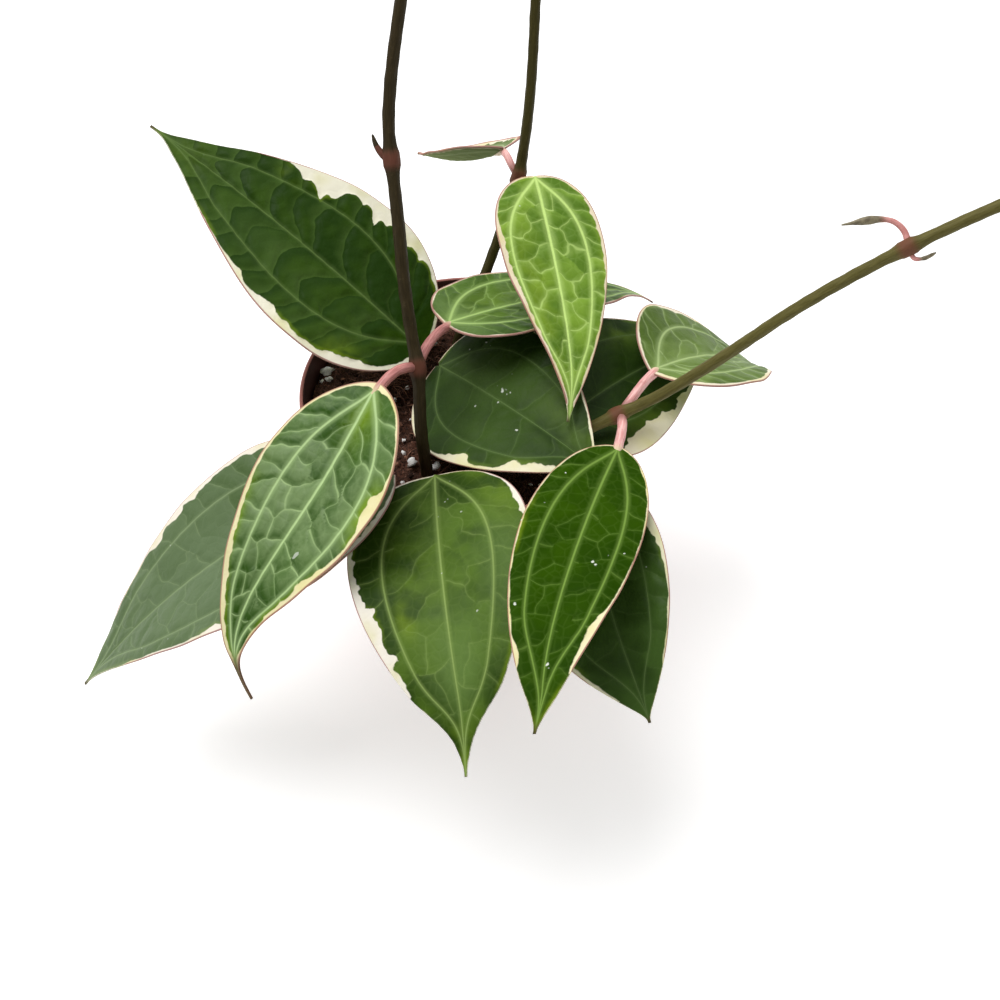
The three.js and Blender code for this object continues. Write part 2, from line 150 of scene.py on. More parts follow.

# Each leaf:
# base, turn (yaw, pitch, roll in degrees), length, width and form: as in the CAD solid
# stalk: the way of its stalk up to the blade, from the middle of its stem or inside the soil
# slim: thins the stalk, rose: gives it a darker pink, hidden: starts it farther under the blade
# tail: where along the blade the tip's thinning starts and ends, the share taken off, and how
#   many mm the tip curls to the left
# cream: patches of the margin, each with its side (-1 right, 1 left), then each place along the
#   blade with the depth in mm there
# pale, lime and the darker blotches: each with the s and u of its middle, its reach along s
#   and u, and its strength. The pale ones are partly the leaf's own grey-green and partly
#   painted sheen; the darker ones are painted shade
# flecks: small white marks, each with its s, its u and its radius in mm
LEAVES = {
    "leaf_01": dict(
        base=(-16, 6.5, 10), turn=(153.5, 37, -3.5), length=98.5, width=56.5,
        form=dict(
            bend=13, twist=-7.5, fold=0.2, cup=0.04, full=0.53, taper=1.18, drip=0.063, skew=0.02,
            lobe=0.05,
        ),
        stalk=((-16, 8, -20), (-15.5, 7.5, -7), (-15, 6.8, 3), (-15, 6.2, 7.5)),
        markings=dict(
            lateral=(0.61, 0.63), gap=(9.2, 10), slant=(0.5, 0.3), rows=(1, 1), jitter=0.45,
            arch=0.4, net=0.08, quilt=0.6, slope_shade=1.0, width=0.42, trim=0.1, pink=0.22,
            bare=(0.7, 0.84), jag=0.35, ragged=0.14, tail=(0.9, 0.98, 0.2, 0),
            cream=(
                (-1, (0, 0.8), (0.08, 0.9), (0.13, 1.4), (0.17, 3), (0.2, 4), (0.26, 3.2),
                 (0.29, 3.6), (0.31, 4.8), (0.33, 6.6), (0.36, 4.4), (0.4, 3.4), (0.43, 3),
                 (0.46, 4.4), (0.47, 7.6), (0.52, 6.6), (0.55, 4.4), (0.58, 3), (0.61, 1.6),
                 (0.63, 0.3), (0.7, 0)),
                (1, (0, 1.2), (0.07, 1.6), (0.12, 2.6), (0.14, 3.2), (0.18, 2.8), (0.22, 1.8),
                 (0.28, 1.5), (0.33, 2.2), (0.37, 2.6), (0.4, 3.6), (0.44, 1.6), (0.49, 0.8),
                 (0.52, 1.8), (0.56, 0.9), (0.62, 0.3), (0.8, 0)),
            ),
            pale=((0.95, 0, 0.22, 1, 0.8), (0.62, 0.5, 0.3, 0.5, 0.4), (0.3, 0.7, 0.2, 0.3, 0.3)),
            lime=((0.6, -0.85, 0.035, 0.2, 0.9), (0.17, 0.9, 0.04, 0.2, 0.8), (1, 0, 0.14, 1, 0.5)),
            shade_blotches=((0.12, -0.4, 0.2, 0.6, 0.5),),
        ),
        colours="dark",
    ),
    "leaf_02": dict(
        base=(-6, 0, 24), turn=(34, -7, -9), length=77, width=37,
        form=dict(bend=13, hook=34, sweep=-0.02, twist=-2, full=0.36, taper=1, skew=0.03),
        stalk=((-13.5, -20, 26), (-12, -14, 26.5), (-9, -6, 25.5)), rose=1,
        markings=dict(
            lateral=(0.66, 0.74), gap=(9, 8.5), trim=0.6, pink=0.45, width=0.62, bare=(2, 3),
            net=0.75, slant=(0.7, 0.6), jitter=0.6, pale=((0.04, 0, 0.08, 1, 0.9),),
            lime=((0.25, 0.1, 0.25, 0.5, 0.4),), shade_blotches=((0.3, -0.9, 0.2, 0.4, 0.5),),
        ),
        colours="fresh",
    ),
    "leaf_03": dict(
        base=(19, 37, 48), turn=(-77, -21, -7), length=75, width=32,
        form=dict(
            bend=3, hook=26, sweep=-0.05, curl=-0.03, twist=-13, full=0.45, taper=1.02, lobe=0.01,
        ),
        stalk=((14.5, 44.5, 43), (16.2, 41.6, 42.6), (18, 38.5, 44)), hidden=1,
        markings=dict(
            lateral=(0.82, 0.68), gap=(7.6, 8.2), slant=(0.1, 0.35), jitter=0.45, width=0.66,
            trim=0.6, pink=0.25, bare=(0.93, 1), slope_shade=0.5,
            cream=(
                (-1, (0.16, 0.4), (0.22, 1), (0.3, 1.6), (0.4, 1.4), (0.5, 1.6), (0.55, 1),
                 (0.7, 0.8), (0.85, 0.6)),
                (1, (0.12, 0.9), (0.2, 1.2), (0.3, 1), (0.42, 0.8)),
            ),
            lime=((0.5, -0.6, 0.4, 0.4, 0.35), (0.3, 1, 0.25, 0.1, 0.9), (0.35, -1, 0.3, 0.1, 0.9)),
            shade_blotches=((0.2, 0.6, 0.22, 0.6, 0.9), (0.15, -0.9, 0.12, 0.4, 0.5)),
        ),
        colours="lime",
    ),
    "leaf_04": dict(
        base=(10, 52.7, 47), turn=(126, -40.8, 9.9), length=63.5, width=25,
        form=dict(
            bend=-23.9, hook=18, sweep=-0.02, curl=-0.034, twist=2.5, fold=0.43, cup=0.073,
            full=0.42, taper=0.95, skew=0.037, drip=0.02, lobe=0.06,
        ),
        stalk=((14.5, 44.5, 43), (12.6, 46.8, 45), (11, 50, 46.6)), slim=0.8,
        markings=dict(
            gap=(8, 8), trim=1, pink=1, bare=(2, 3),
            cream=(
                (-1, (0, 2), (0.15, 1.6), (0.3, 2.4), (0.45, 3), (0.6, 2), (0.7, 1.2), (1, 0.6)),
                (1, (0, 1.4), (1, 1)),
            ),
        ),
        colours="pale",
    ),
    "leaf_05": dict(
        base=(-8.8, 5, 3), turn=(-52, 17, 29), length=65, width=47,
        form=dict(
            bend=21, hook=19, sweep=-0.02, twist=-14, fold=0.16, full=0.45, taper=0.71,
            skew=-0.03, lobe=0.04,
        ),
        stalk=((-8, 11, -20), (-8.5, 9, -7), (-8.5, 6.5, -2), (-8, 5, 0.3)), hidden=1,
        markings=dict(
            lateral=(0.68, 0.66), gap=(12, 12), slant=(0.5, 0.5), rows=(1, 1), width=0.32,
            net=0.8, quilt=0.25, trim=0.3, pink=0.14,
            cream=(
                (-1, (0.05, 1.4), (0.2, 1.6), (0.28, 0.6), (0.4, 0.8), (0.43, 1.4), (0.45, 2.6),
                 (0.5, 3), (0.54, 3.1), (0.56, 1.4), (0.6, 0.7), (0.66, 0.8), (0.69, 1.4),
                 (0.71, 2.9), (0.76, 2.8), (0.82, 2.6), (0.87, 1.8), (0.93, 0.8)),
                (1, (0.62, 0.3), (0.72, 0.5), (0.9, 0.6), (1, 0.5)),
            ),
            pale=(
                (0.3, 0.2, 0.3, 0.5, 0.8), (0.5, -0.5, 0.2, 0.4, 0.5), (0.62, 0.3, 0.1, 0.3, 0.6),
            ),
            shade_blotches=((0.12, -0.5, 0.15, 0.5, 0.8), (0.5, 0.9, 0.2, 0.3, 0.6)),
            lime=((0.76, -0.8, 0.08, 0.14, 0.8), (0.8, 0.5, 0.2, 0.5, 0.35)),
            flecks=(
                (0.17, 0.65, 0.3), (0.2, 0.6, 0.25), (0.18, 0.55, 0.2), (0.4, 0.38, 0.25),
                (0.41, 0.15, 0.45), (0.43, 0.17, 0.5), (0.46, 0.17, 0.4), (0.42, 0.12, 0.35),
                (0.45, 0.12, 0.3), (0.38, 0.15, 0.25), (0.44, -0.03, 0.25), (0.04, 1, 0.25),
                (0.62, -0.23, 0.3), (0.36, -0.22, 0.25),
            ),
        ),
        colours="glossy",
    ),
    "leaf_06": dict(
        base=(41.5, -36.5, 11), turn=(-110.5, 10, -5), length=90, width=31,
        form=dict(
            bend=16, hook=20, sweep=0.075, curl=0.05, twist=10, full=0.59, taper=0.86, drip=0.016,
            skew=-0.01,
        ),
        stalk=((43, -22.5, 10.5), (43.2, -27, 11), (42.4, -32, 11.3)),
        markings=dict(
            lateral=(0.65, 0.67), gap=(9, 9), slant=(0.35, 0.1), rows=(2, 1), width=0.46, net=0.6,
            jitter=0.9, forks=0.5, trim=0.4, pink=0.2, bare=(0.84, 0.94), jag=0, ragged=0.15,
            tail=(0.9, 0.99, 0.1, -2),
            cream=(
                (1, (0.58, 0.3), (0.66, 0.6), (0.69, 1.6), (0.72, 2), (0.76, 1.5), (0.81, 1.1),
                 (0.85, 0.6), (0.865, 0.2)),
                (-1, (0.78, 0.3), (0.8, 1), (0.825, 1.3), (0.845, 0.7), (0.855, 0.2)),
            ),
            lime=((0.98, 0, 0.06, 1, 0.6),),
            shade_blotches=((0.85, 0, 0.2, 1, 0.4),),
            flecks=(
                (0.51, 0.42, 0.5), (0.5, 0.35, 0.35), (0.48, 0.5, 0.35), (0.47, 0.56, 0.3),
                (0.45, 0.8, 0.3), (0.84, 0.1, 0.45), (0.85, 0.16, 0.3), (0.69, -0.86, 0.35),
            ),
        ),
        colours="bright",
    ),
    "leaf_07": dict(
        base=(-24, -31.5, 29), turn=(-122, -28, 13), length=89, width=40.5,
        form=dict(
            bend=2.5, hook=60, sweep=-0.14, curl=0.15, twist=-17, fold=0.21, cup=0.02, full=0.62,
            taper=1.22, drip=0.13, skew=0.07, lobe=0.04,
        ),
        stalk=((-13.5, -20, 26), (-17, -22.6, 28.2), (-20.5, -27.6, 30)), rose=1,
        markings=dict(
            lateral=(0.6, 0.74), shift=0.04, gap=(9, 9), slant=(0.3, 0.45), width=0.62,
            quilt=0.38, slope_shade=0.7, trim=0.6, pink=0.3, bare=(2, 3), jag=0.2, ragged=0.2,
            tail=(0.86, 0.96, 0.6, 2.4), dry=(0.875, 0.93), flecks=((0.545, 0.4, 0.9),),
            cream=(
                (1, (0, 1.8), (0.03, 0.8), (0.2, 0.5), (0.26, 1), (0.29, 3), (0.32, 3.4),
                 (0.36, 2.6), (0.39, 1.2), (0.45, 0.8), (0.5, 1), (0.56, 1.3), (0.59, 2.2),
                 (0.65, 1.2), (0.75, 0.9)),
                (-1, (0, 1.8), (0.03, 0.8), (0.35, 0.8), (0.45, 1.2), (0.55, 1.3), (0.65, 1.5),
                 (0.7, 2), (0.74, 1.5), (0.8, 1.3), (0.88, 0.8)),
            ),
            pale=(
                (0.42, -0.45, 0.3, 0.6, 0.8), (0.4, 0.7, 0.3, 0.3, 0.6), (0.62, 0.2, 0.1, 0.5, 0.4),
            ),
            lime=(
                (0.08, 0.12, 0.1, 0.3, 0.7), (0.33, 0.9, 0.08, 0.16, 1), (0.6, 0.95, 0.05, 0.1, 0.8),
                (0.6, -0.95, 0.2, 0.12, 0.8),
            ),
            shade_blotches=((0.9, 0, 0.2, 1.5, 1.4), (0.12, -0.2, 0.12, 0.4, 0.9), (0.7, -0.4, 0.06, 0.3, 1)),
        ),
        colours="silver",
    ),
    "leaf_08": dict(
        base=(-24, -42, 5), turn=(-163, -11, -5), length=112, width=53,
        form=dict(
            bend=42, hook=-10, sweep=0.06, twist=4, full=0.56, taper=1.06, drip=0.07, skew=-0.04,
            lobe=0.08,
        ),
        stalk=((-25, -27, -20), (-25, -29, -7), (-23.5, -34, -1), (-22, -39.5, 4)),
        markings=dict(
            lateral=(0.66, 0.72), gap=(10.5, 10.5), width=0.4, net=0.8, trim=0.45, pink=0.2,
            bare=(0.8, 0.92), jag=0.25,
            cream=(
                (-1, (0.05, 0.8), (0.2, 1.2), (0.24, 2), (0.3, 1.4), (0.36, 1), (0.42, 1.4),
                 (0.47, 2.4), (0.5, 1.2), (0.53, 2.8), (0.57, 0.9), (0.61, 2.6), (0.64, 0.8),
                 (0.7, 0.4)),
                (1, (0, 0.3), (0.05, 1.4), (0.14, 1.5), (0.19, 0.4), (0.44, 0.5), (0.46, 1.8),
                 (0.5, 2), (0.55, 1), (0.6, 0.5)),
            ),
            pale=((0.5, 0, 0.5, 1.2, 0.7),), shade_blotches=((0.3, -0.5, 0.15, 0.6, 0.8),),
        ),
        colours="grey",
    ),
    "leaf_09": dict(
        base=(-9, -39, 2.5), turn=(-87, 9, 12), length=87, width=50,
        form=dict(bend=44, hook=7, twist=10, full=0.48, lobe=0),
        stalk=((-6, -32, -20), (-7, -34.5, -7), (-8, -37.5, -3), (-9, -40.5, -1)), hidden=1,
        markings=dict(
            lateral=(0.66, 0.6), gap=(12, 12), slant=(0.5, 0.4), width=0.42, net=0.62, quilt=0.14,
            trim=0.35, pink=0.2, bare=(0.66, 0.8), jag=0.15, ragged=0.36,
            tail=(0.76, 0.93, 0.45, -1.8), dry=(0.99, 1.01), slope_shade=0.12,
            cream=(
                (-1, (0, 0.6), (0.2, 1.1), (0.35, 1.6), (0.42, 2), (0.46, 2.6), (0.48, 4),
                 (0.505, 3.4), (0.54, 4), (0.575, 2.2), (0.62, 2.6), (0.645, 3.2), (0.66, 1.8),
                 (0.71, 1.2), (0.76, 0.5)),
                (1, (0.04, 0.3), (0.1, 0.4), (0.15, 1), (0.2, 1.6), (0.26, 1.3), (0.3, 0.6),
                 (0.34, 0.3), (0.57, 0.3), (0.6, 1.2), (0.63, 0.3)),
            ),
            shade_blotches=((0.15, -1, 0.3, 0.42, 2), (0.35, -1, 0.2, 0.34, 1.6), (0.04, 0.3, 0.12, 0.5, 1)),
            pale=(
                (0.68, 0.1, 0.2, 0.5, 0.9), (0.2, 0.1, 0.15, 0.4, 0.3), (0.4, 0.7, 0.25, 0.35, 0.7),
            ),
            lime=(
                (0.53, -0.5, 0.06, 0.12, 0.7), (0.42, -0.3, 0.2, 0.3, 0.12), (0.97, 0, 0.08, 1, 0.9),
                (0.15, 0.8, 0.12, 0.2, 0.3),
            ),
            flecks=(
                (0.19, 0.02, 0.3), (0.2, 0.3, 0.45), (0.05, 0.3, 0.35), (0.14, 0.12, 0.25),
                (0.13, 0.17, 0.25), (0.15, 0.07, 0.25), (0.4, 0, 0.25), (0.55, 0.4, 0.3),
            ),
        ),
        colours="mid",
    ),
    "leaf_10": dict(
        base=(34, -39, 4), turn=(-94, 2, 18.5), length=72.5, width=39.5,
        form=dict(
            bend=47, hook=5, sweep=0.15, curl=-0.02, twist=-4, fold=0.2, cup=0.035, full=0.75,
            taper=0.86, drip=0.06, skew=-0.1,
        ),
        stalk=((28, -31, -20), (30, -32, -8), (31.5, -33, -2.5), (33, -35, 2), (34, -37, 3.5)),
        markings=dict(
            lateral=(0.6, 0.64), gap=(11, 11), rows=(1, 1), width=0.32, net=0.6, trim=0.35,
            pink=0.15, jag=0.2, bare=(0.8, 0.92),
            cream=(
                (1, (0.1, 1), (0.2, 2), (0.3, 2.8), (0.35, 2.4), (0.42, 1.5), (0.5, 0.8),
                 (0.6, 0.3)),
                (-1, (0.5, 0.4), (0.62, 0.9), (0.72, 1), (0.82, 0.7), (0.9, 0.3)),
            ),
        ),
        colours="shade",
    ),
    "leaf_11": dict(
        base=(28, -19, 5), turn=(43, 7, 16), length=69, width=46,
        form=dict(
            bend=36, hook=6, sweep=-0.08, curl=-0.02, twist=8, full=0.27, taper=1.05, skew=0.04,
            lobe=0.05,
        ),
        stalk=((22, -13, -20), (22.5, -14, -7), (24, -17, 0.5), (26, -19.5, 4)),
        markings=dict(
            gap=(12, 12), rows=(1, 1), width=0.32, net=0.6, quilt=0.16, trim=0.25, pink=0.15,
            jag=0.2,
            cream=(
                (-1, (0, 1), (0.08, 2), (0.14, 5), (0.2, 6.4), (0.27, 6), (0.35, 4.6), (0.4, 2.6),
                 (0.45, 2.2), (0.5, 2.8), (0.58, 1.4), (0.68, 0.4)),
            ),
            lime=((0.48, 0.65, 0.08, 0.2, 0.7), (0.3, -0.7, 0.2, 0.15, 0.4)),
        ),
        colours="glossy",
    ),
    "leaf_12": dict(
        base=(53.5, -9.4, 15), turn=(37.7, -7.9, 4.9), length=55.5, width=42.5,
        form=dict(
            bend=43, hook=1.4, sweep=-0.066, curl=-0.027, twist=-12.3, fold=0.214, cup=0.01,
            full=0.657, taper=1.14, skew=0.083, lobe=0.045,
        ),
        stalk=((43, -22.5, 10.5), (46.5, -18.2, 12.6), (50.5, -13, 14.3)),
        markings=dict(
            lateral=(0.6, 0.58), gap=(8.5, 8.5), width=0.5, trim=0.45, pink=0.3, bare=(2, 3),
            jag=0.2, ragged=0.15,
            cream=(
                (1, (0, 0.8), (0.1, 0.8), (0.25, 0.5), (0.33, 0.8), (0.42, 1.6), (0.5, 1.8),
                 (0.58, 1.2), (0.66, 0.4)),
                (-1, (0, 1.2), (0.1, 1.4), (0.3, 1), (0.5, 1.1), (0.7, 1.3), (0.9, 1), (1, 0.5)),
            ),
            pale=((0.4, -0.1, 0.4, 0.6, 0.8), (0.03, 0, 0.06, 1, 0.9)),
            lime=((0.15, 0.2, 0.1, 0.3, 0.5), (0.15, -0.6, 0.1, 0.3, 0.6)),
            shade_blotches=((0.2, 0.95, 0.3, 0.35, 0.8),),
        ),
        colours="soft",
    ),
}

for leaf in LEAVES.values():
    leaf["form"] = {**USUAL_FORM, **leaf["form"]}
    leaf["markings"] = {**USUAL_MARKINGS, **leaf["markings"]}

# Looks of a leaf by kind, colours as sRGB:
# green, deep, pale: the green of the cells and its deeper and paler shades; deep is also the
#   cells' painted shade, and pale their painted sheen as well as the leaf's own grey-green
# lime, vein, cream: a yellow-green, the veins and the margin
# strength: how strongly the veins show
# gloss, shine: the skin's roughness and its specular level
# web: how much the finest net shows
# the painted sheen on a cell's swelling middle: how much paler it is
# specks: how much the dust shows
LEAF_COLOURS = {
    "dark": dict(
        green=(46, 73, 8), deep=(30, 56, 6), pale=(70, 96, 40), lime=(112, 138, 28),
        vein=(100, 124, 66), cream=(240, 236, 214), strength=0.75, gloss=0.45, shine=0.07, web=0.0,
        dome_sheen=0.1, specks=0.5,
    ),
    "shade": dict(
        green=(64, 92, 34), deep=(42, 66, 16), pale=(76, 102, 52), lime=(96, 122, 36),
        vein=(100, 124, 70), cream=(236, 232, 200), strength=0.65, gloss=0.45, shine=0.14, web=0.0,
        dome_sheen=0.1, specks=0.4,
    ),
    "glossy": dict(
        green=(48, 74, 14), deep=(32, 54, 8), pale=(68, 92, 38), lime=(96, 122, 36),
        vein=(98, 122, 68), cream=(240, 234, 204), strength=0.7, gloss=0.5, shine=0.12, web=0.0,
        dome_sheen=0.15, specks=0.8,
    ),
    "mid": dict(
        green=(80, 108, 30), deep=(38, 62, 8), pale=(98, 126, 60), lime=(112, 138, 24),
        vein=(150, 174, 98), cream=(242, 236, 222), strength=0.8, gloss=0.45, shine=0.07, web=0.04,
        dome_sheen=0.1, specks=0.6,
    ),
    "fresh": dict(
        green=(73, 105, 35), deep=(48, 77, 19), pale=(108, 136, 73), lime=(120, 148, 50),
        vein=(176, 206, 124), cream=(240, 228, 206), strength=0.95, gloss=0.45, shine=0.12, web=0.03,
        dome_sheen=0.15, specks=0.3,
    ),
    "lime": dict(
        green=(124, 160, 50), deep=(84, 120, 28), pale=(154, 188, 96), lime=(134, 160, 40),
        vein=(206, 236, 138), cream=(240, 226, 196), strength=1.0, gloss=0.45, shine=0.12, web=0.05,
        dome_sheen=0.15, specks=0.4,
    ),
    "bright": dict(
        green=(44, 76, 0), deep=(34, 64, 0), pale=(66, 98, 6), lime=(124, 150, 30),
        vein=(126, 158, 72), cream=(240, 232, 190), strength=0.95, gloss=0.5, shine=0.02, web=0.05,
        dome_sheen=0.1, specks=1.0,
    ),
    "silver": dict(
        green=(52, 90, 10), deep=(38, 74, 0), pale=(116, 140, 90), lime=(114, 146, 14),
        vein=(180, 208, 144), cream=(236, 228, 180), strength=1.0, gloss=0.42, shine=0.16, web=0.04,
        dome_sheen=0.8, specks=0.5,
    ),
    "grey": dict(
        green=(84, 106, 62), deep=(68, 92, 44), pale=(104, 124, 88), lime=(126, 146, 84),
        vein=(138, 158, 112), cream=(240, 232, 216), strength=0.75, gloss=0.45, shine=0.26, web=0.03,
        dome_sheen=0.2, specks=0.5,
    ),
    "pale": dict(
        green=(112, 130, 84), deep=(98, 116, 70), pale=(158, 170, 136), lime=(176, 186, 120),
        vein=(180, 192, 150), cream=(236, 228, 206), strength=0.7, gloss=0.45, shine=0.0, web=0.03,
        dome_sheen=0.2, specks=0.2,
    ),
    "soft": dict(
        green=(88, 114, 38), deep=(70, 94, 28), pale=(108, 132, 66), lime=(134, 158, 84),
        vein=(172, 194, 130), cream=(240, 230, 206), strength=0.95, gloss=0.45, shine=0.12, web=0.03,
        dome_sheen=0.2, specks=0.3,
    ),
}

# Stems: the radius at the root and at the tip, the nodes' places as shares of the length, the lighter
# and the darker colour of the bark as sRGB, how pink the nodes are, and the way up from the soil
STEMS = {
    "stem_brown": dict(
        radius=1.75, tip=1.5, nodes=(0.322, 0.617), colours=((58, 48, 26), (38, 31, 13)), pink=0.6,
        points=(
            (-11, -33, -32), (-12, -30, -7), (-13, -29, 10), (-13.5, -20, 26), (-15, -15, 33),
            (-17, -7, 46), (-18, 0.5, 57.5), (-19.5, 10, 72.5), (-20, 14, 80), (-19, 19, 91),
            (-16, 27, 107), (-12, 36, 124), (-9, 42, 136),
        ),
    ),
    "stem_olive": dict(
        radius=1.55, tip=1.4, nodes=(0.51,), colours=((66, 60, 24), (50, 46, 14)), pink=0.6,
        points=(
            (-12, 15, -30), (-5, 22.5, -6), (-3, 25, 0), (4.5, 32.5, 16), (14.5, 44.5, 43),
            (15.5, 46.5, 48), (17, 51, 57.5), (18, 55.5, 67), (18.5, 59, 75.5), (19, 64.5, 88),
            (20, 71, 104), (22, 76, 116),
        ),
    ),
    "stem_green": dict(
        radius=1.65, tip=1.5, nodes=(0.286, 0.76), colours=((106, 100, 54), (80, 74, 32)), pink=0.75,
        points=(
            (13, -25, -30), (18, -25, -16), (21, -26, -7), (25.5, -26, 2), (34, -25.5, 7.5),
            (43, -22.5, 10.5), (52.5, -21, 15.5), (63.5, -19.5, 23.5), (74, -18, 32),
            (85, -17.5, 42.5), (98, -16.5, 53), (113, -16, 64), (129, -15, 73.5), (142, -14, 80),
            (153, -13, 84),
        ),
    ),
}

# The bud's way out from its node
BUD = ((-19.5, 9.5, 72), (-22, 11, 73.5), (-23.5, 12.5, 75), (-24.5, 14.5, 77))

# Unopened leaves: the way out from the node, and the radius of the stalk and of the fullest place
YOUNG_LEAVES = {
    "young_leaf_long": dict(
        points=(
            (113, -16, 64), (112, -13, 66.5), (109.5, -11, 68), (106, -10.5, 68.5), (96, -11.5, 67.5),
        ),
        stalk=0.85, fullest=1.15,
    ),
    "young_leaf_short": dict(
        points=((113, -16, 64), (114.5, -18, 62), (117, -18, 62), (120, -17, 63)),
        stalk=0.7, fullest=0.6,
    ),
}

# White lumps that stand apart: x, y and radius in mm
PERLITE_SPOTS = (
    (-44.6, 12.8, 2.0), (-45.8, 8.8, 0.8), (-19.5, 6.1, 1.0), (-16.5, -26.8, 1.7),
    (-9.8, -27.1, 1.5), (-12.2, 24.7, 1.6), (-22.9, 1.3, 0.7), (-19.1, -22.4, 0.9),
    (-47.7, 15.5, 0.5), (-17.7, -8.0, 0.6),
)

# The other colours as sRGB, a pair where a pattern runs from one to the other
COLOURS = dict(
    leaf_edge=(158, 80, 82), underside=(112, 124, 84), dust=(232, 236, 226), dry_tip=(74, 56, 38),
    pink_stalk=((226, 154, 150), (250, 200, 194)), rose_stalk=((180, 112, 108), (214, 146, 140)),
    stalk_dots=(184, 104, 98), stalk_by_blade=(222, 208, 164), stalk_by_stem=(130, 78, 68),
    bark_flecks=(104, 92, 66), bark_node=(116, 66, 54),
    young_stalk=((196, 122, 116), (220, 154, 148)), young_blade=((98, 88, 66), (142, 132, 104)),
    pot=(184, 112, 102), pot_scuffs=(170, 140, 132), pot_soil_marks=(92, 74, 66),
    # the dark of the pot's inside wall: dirt and painted shade
    pot_inside_dirt_and_shade=(44, 20, 14), peat=((34, 19, 12), (104, 66, 50)), peat_clumps=(40, 24, 16),
    peat_dry_grains=(168, 128, 110), crumbs=((44, 26, 18), (158, 112, 90)),
    crumb_grain=(40, 22, 14), perlite=((220, 214, 206), (255, 253, 250)),
    perlite_dust=(150, 122, 106),
)


# Numbers


def linear(colour):
    """sRGB numbers from 0 to 255 as the linear colour that a shader takes."""
    c = np.asarray(colour, float) / 255
    c = np.where(c <= 0.04045, c / 12.92, ((c + 0.055) / 1.055) ** 2.4)
    return (*c.tolist(), 1.0)


def chance(number, seed):
    """A fixed random share from 0 to 1 for each number: the last digits of a steep sine."""
    return np.modf(np.abs(np.sin(number * 12.9898 + seed * 78.233) * 43758.5453))[0]


def step(value, low, high):
    """0 below low, 1 above high and a smooth rise between: three squares less two cubes."""
    t = np.clip((value - low) / (high - low), 0, 1)
    return t * t * (3 - 2 * t)


def ripples(x, y, size, seed):
    """Smooth irregular waves of about the given size: seven sines that run in different directions,
    each at a slightly different wavelength, with a spread of about 1 either way."""
    rng = np.random.default_rng(seed)
    total = 0
    for k in range(7):
        angle = np.pi * (k + rng.random()) / 7
        wave = 2 * np.pi / (size * rng.uniform(0.75, 1.5))
        total = total + np.sin(wave * (x * np.cos(angle) + y * np.sin(angle)) + rng.uniform(0, 6.3))
    return total / 2.6


def unit(vectors):
    """The vectors at length 1."""
    return vectors / np.linalg.norm(vectors, axis=-1, keepdims=True)


# Meshes


def sleeve(rings, around):
    """Faces of a closed skin over rings of points: a quad between neighbours, and at each end a fan
    to one more point. The points go ring by ring, anticlockwise seen from the far end, then the
    start's point and the end's point."""
    row = around * np.arange(rings - 1)[:, None]
    here = np.arange(around)[None, :]
    after = (here + 1) % around
    quads = np.stack([row + here, row + after, row + around + after, row + around + here], -1)
    first, last = rings * around, rings * around + 1
    here, after = here[0], after[0]
    far = (rings - 1) * around
    start = np.stack([np.full(around, first), after, here], -1)
    end = np.stack([np.full(around, last), far + here, far + after], -1)
    return quads.reshape(-1, 4).tolist() + start.tolist() + end.tolist()


def smooth_path(points, ways):
    """Places at the given shares of the length of the centripetal Catmull-Rom curve through the
    points, the direction there, and the whole length. Between two points the curve is the cubic
    that leaves and arrives along the slopes given by the neighbours, weighted by the square roots
    of the distances; both ends are continued straight."""
    p = np.asarray(points, float)
    p = np.vstack([2 * p[0] - p[1], p, 2 * p[-1] - p[-2]])
    gaps = np.sqrt(np.linalg.norm(np.diff(p, axis=0), axis=1))[:, None]
    t = np.linspace(0, len(points) - 1, 80 * len(points))
    i = np.minimum(t.astype(int), len(points) - 2)
    w = (t - i)[:, None]
    a, b, c, d = p[i], p[i + 1], p[i + 2], p[i + 3]
    g0, g1, g2 = gaps[i], gaps[i + 1], gaps[i + 2]
    leave = ((b - a) / g0 - (c - a) / (g0 + g1) + (c - b) / g1) * g1
    arrive = ((c - b) / g1 - (d - b) / (g1 + g2) + (d - c) / g2) * g1
    curve = b + leave * w + (3 * (c - b) - 2 * leave - arrive) * w**2
    curve = curve + (2 * (b - c) + leave + arrive) * w**3
    run = np.append(0, np.cumsum(np.linalg.norm(np.diff(curve, axis=0), axis=1)))
    places = np.stack([np.interp(ways * run[-1], run, curve[:, k]) for k in range(3)], -1)
    return places, unit(np.gradient(places, axis=0)), run[-1]


def rod(points, ways, radius, sides, flat=1.0):
    """A closed round rod on the smooth path: each ring is a circle square to the path, its radius
    a number for each ring or for each point of each ring, and flat squeezes it one way. Returns
    its points, its faces, and each point's cosine, sine and way along in mm."""
    middle, ahead, length = smooth_path(points, ways)
    least = np.eye(3)[np.abs(ahead.mean(0)).argmin()]
    side = unit(np.cross(least, ahead))
    up = np.cross(ahead, side)
    angle = np.linspace(0, 2 * np.pi, sides, endpoint=False)
    radius = np.broadcast_to(np.asarray(radius, float).reshape(len(ways), -1), (len(ways), sides))
    out = np.cos(angle)[:, None] * side[:, None] + flat * np.sin(angle)[:, None] * up[:, None]
    skin = middle[:, None] + radius[..., None] * out
    verts = np.vstack([skin.reshape(-1, 3), middle[:1], middle[-1:]])
    around = np.stack(
        np.broadcast_arrays(np.cos(angle)[None], np.sin(angle)[None], (ways * length)[:, None]), -1
    ).reshape(-1, 3)
    ends = np.array([[0, 0, 0], [0, 0, length]])
    return verts, sleeve(len(ways), sides), np.vstack([around, ends])


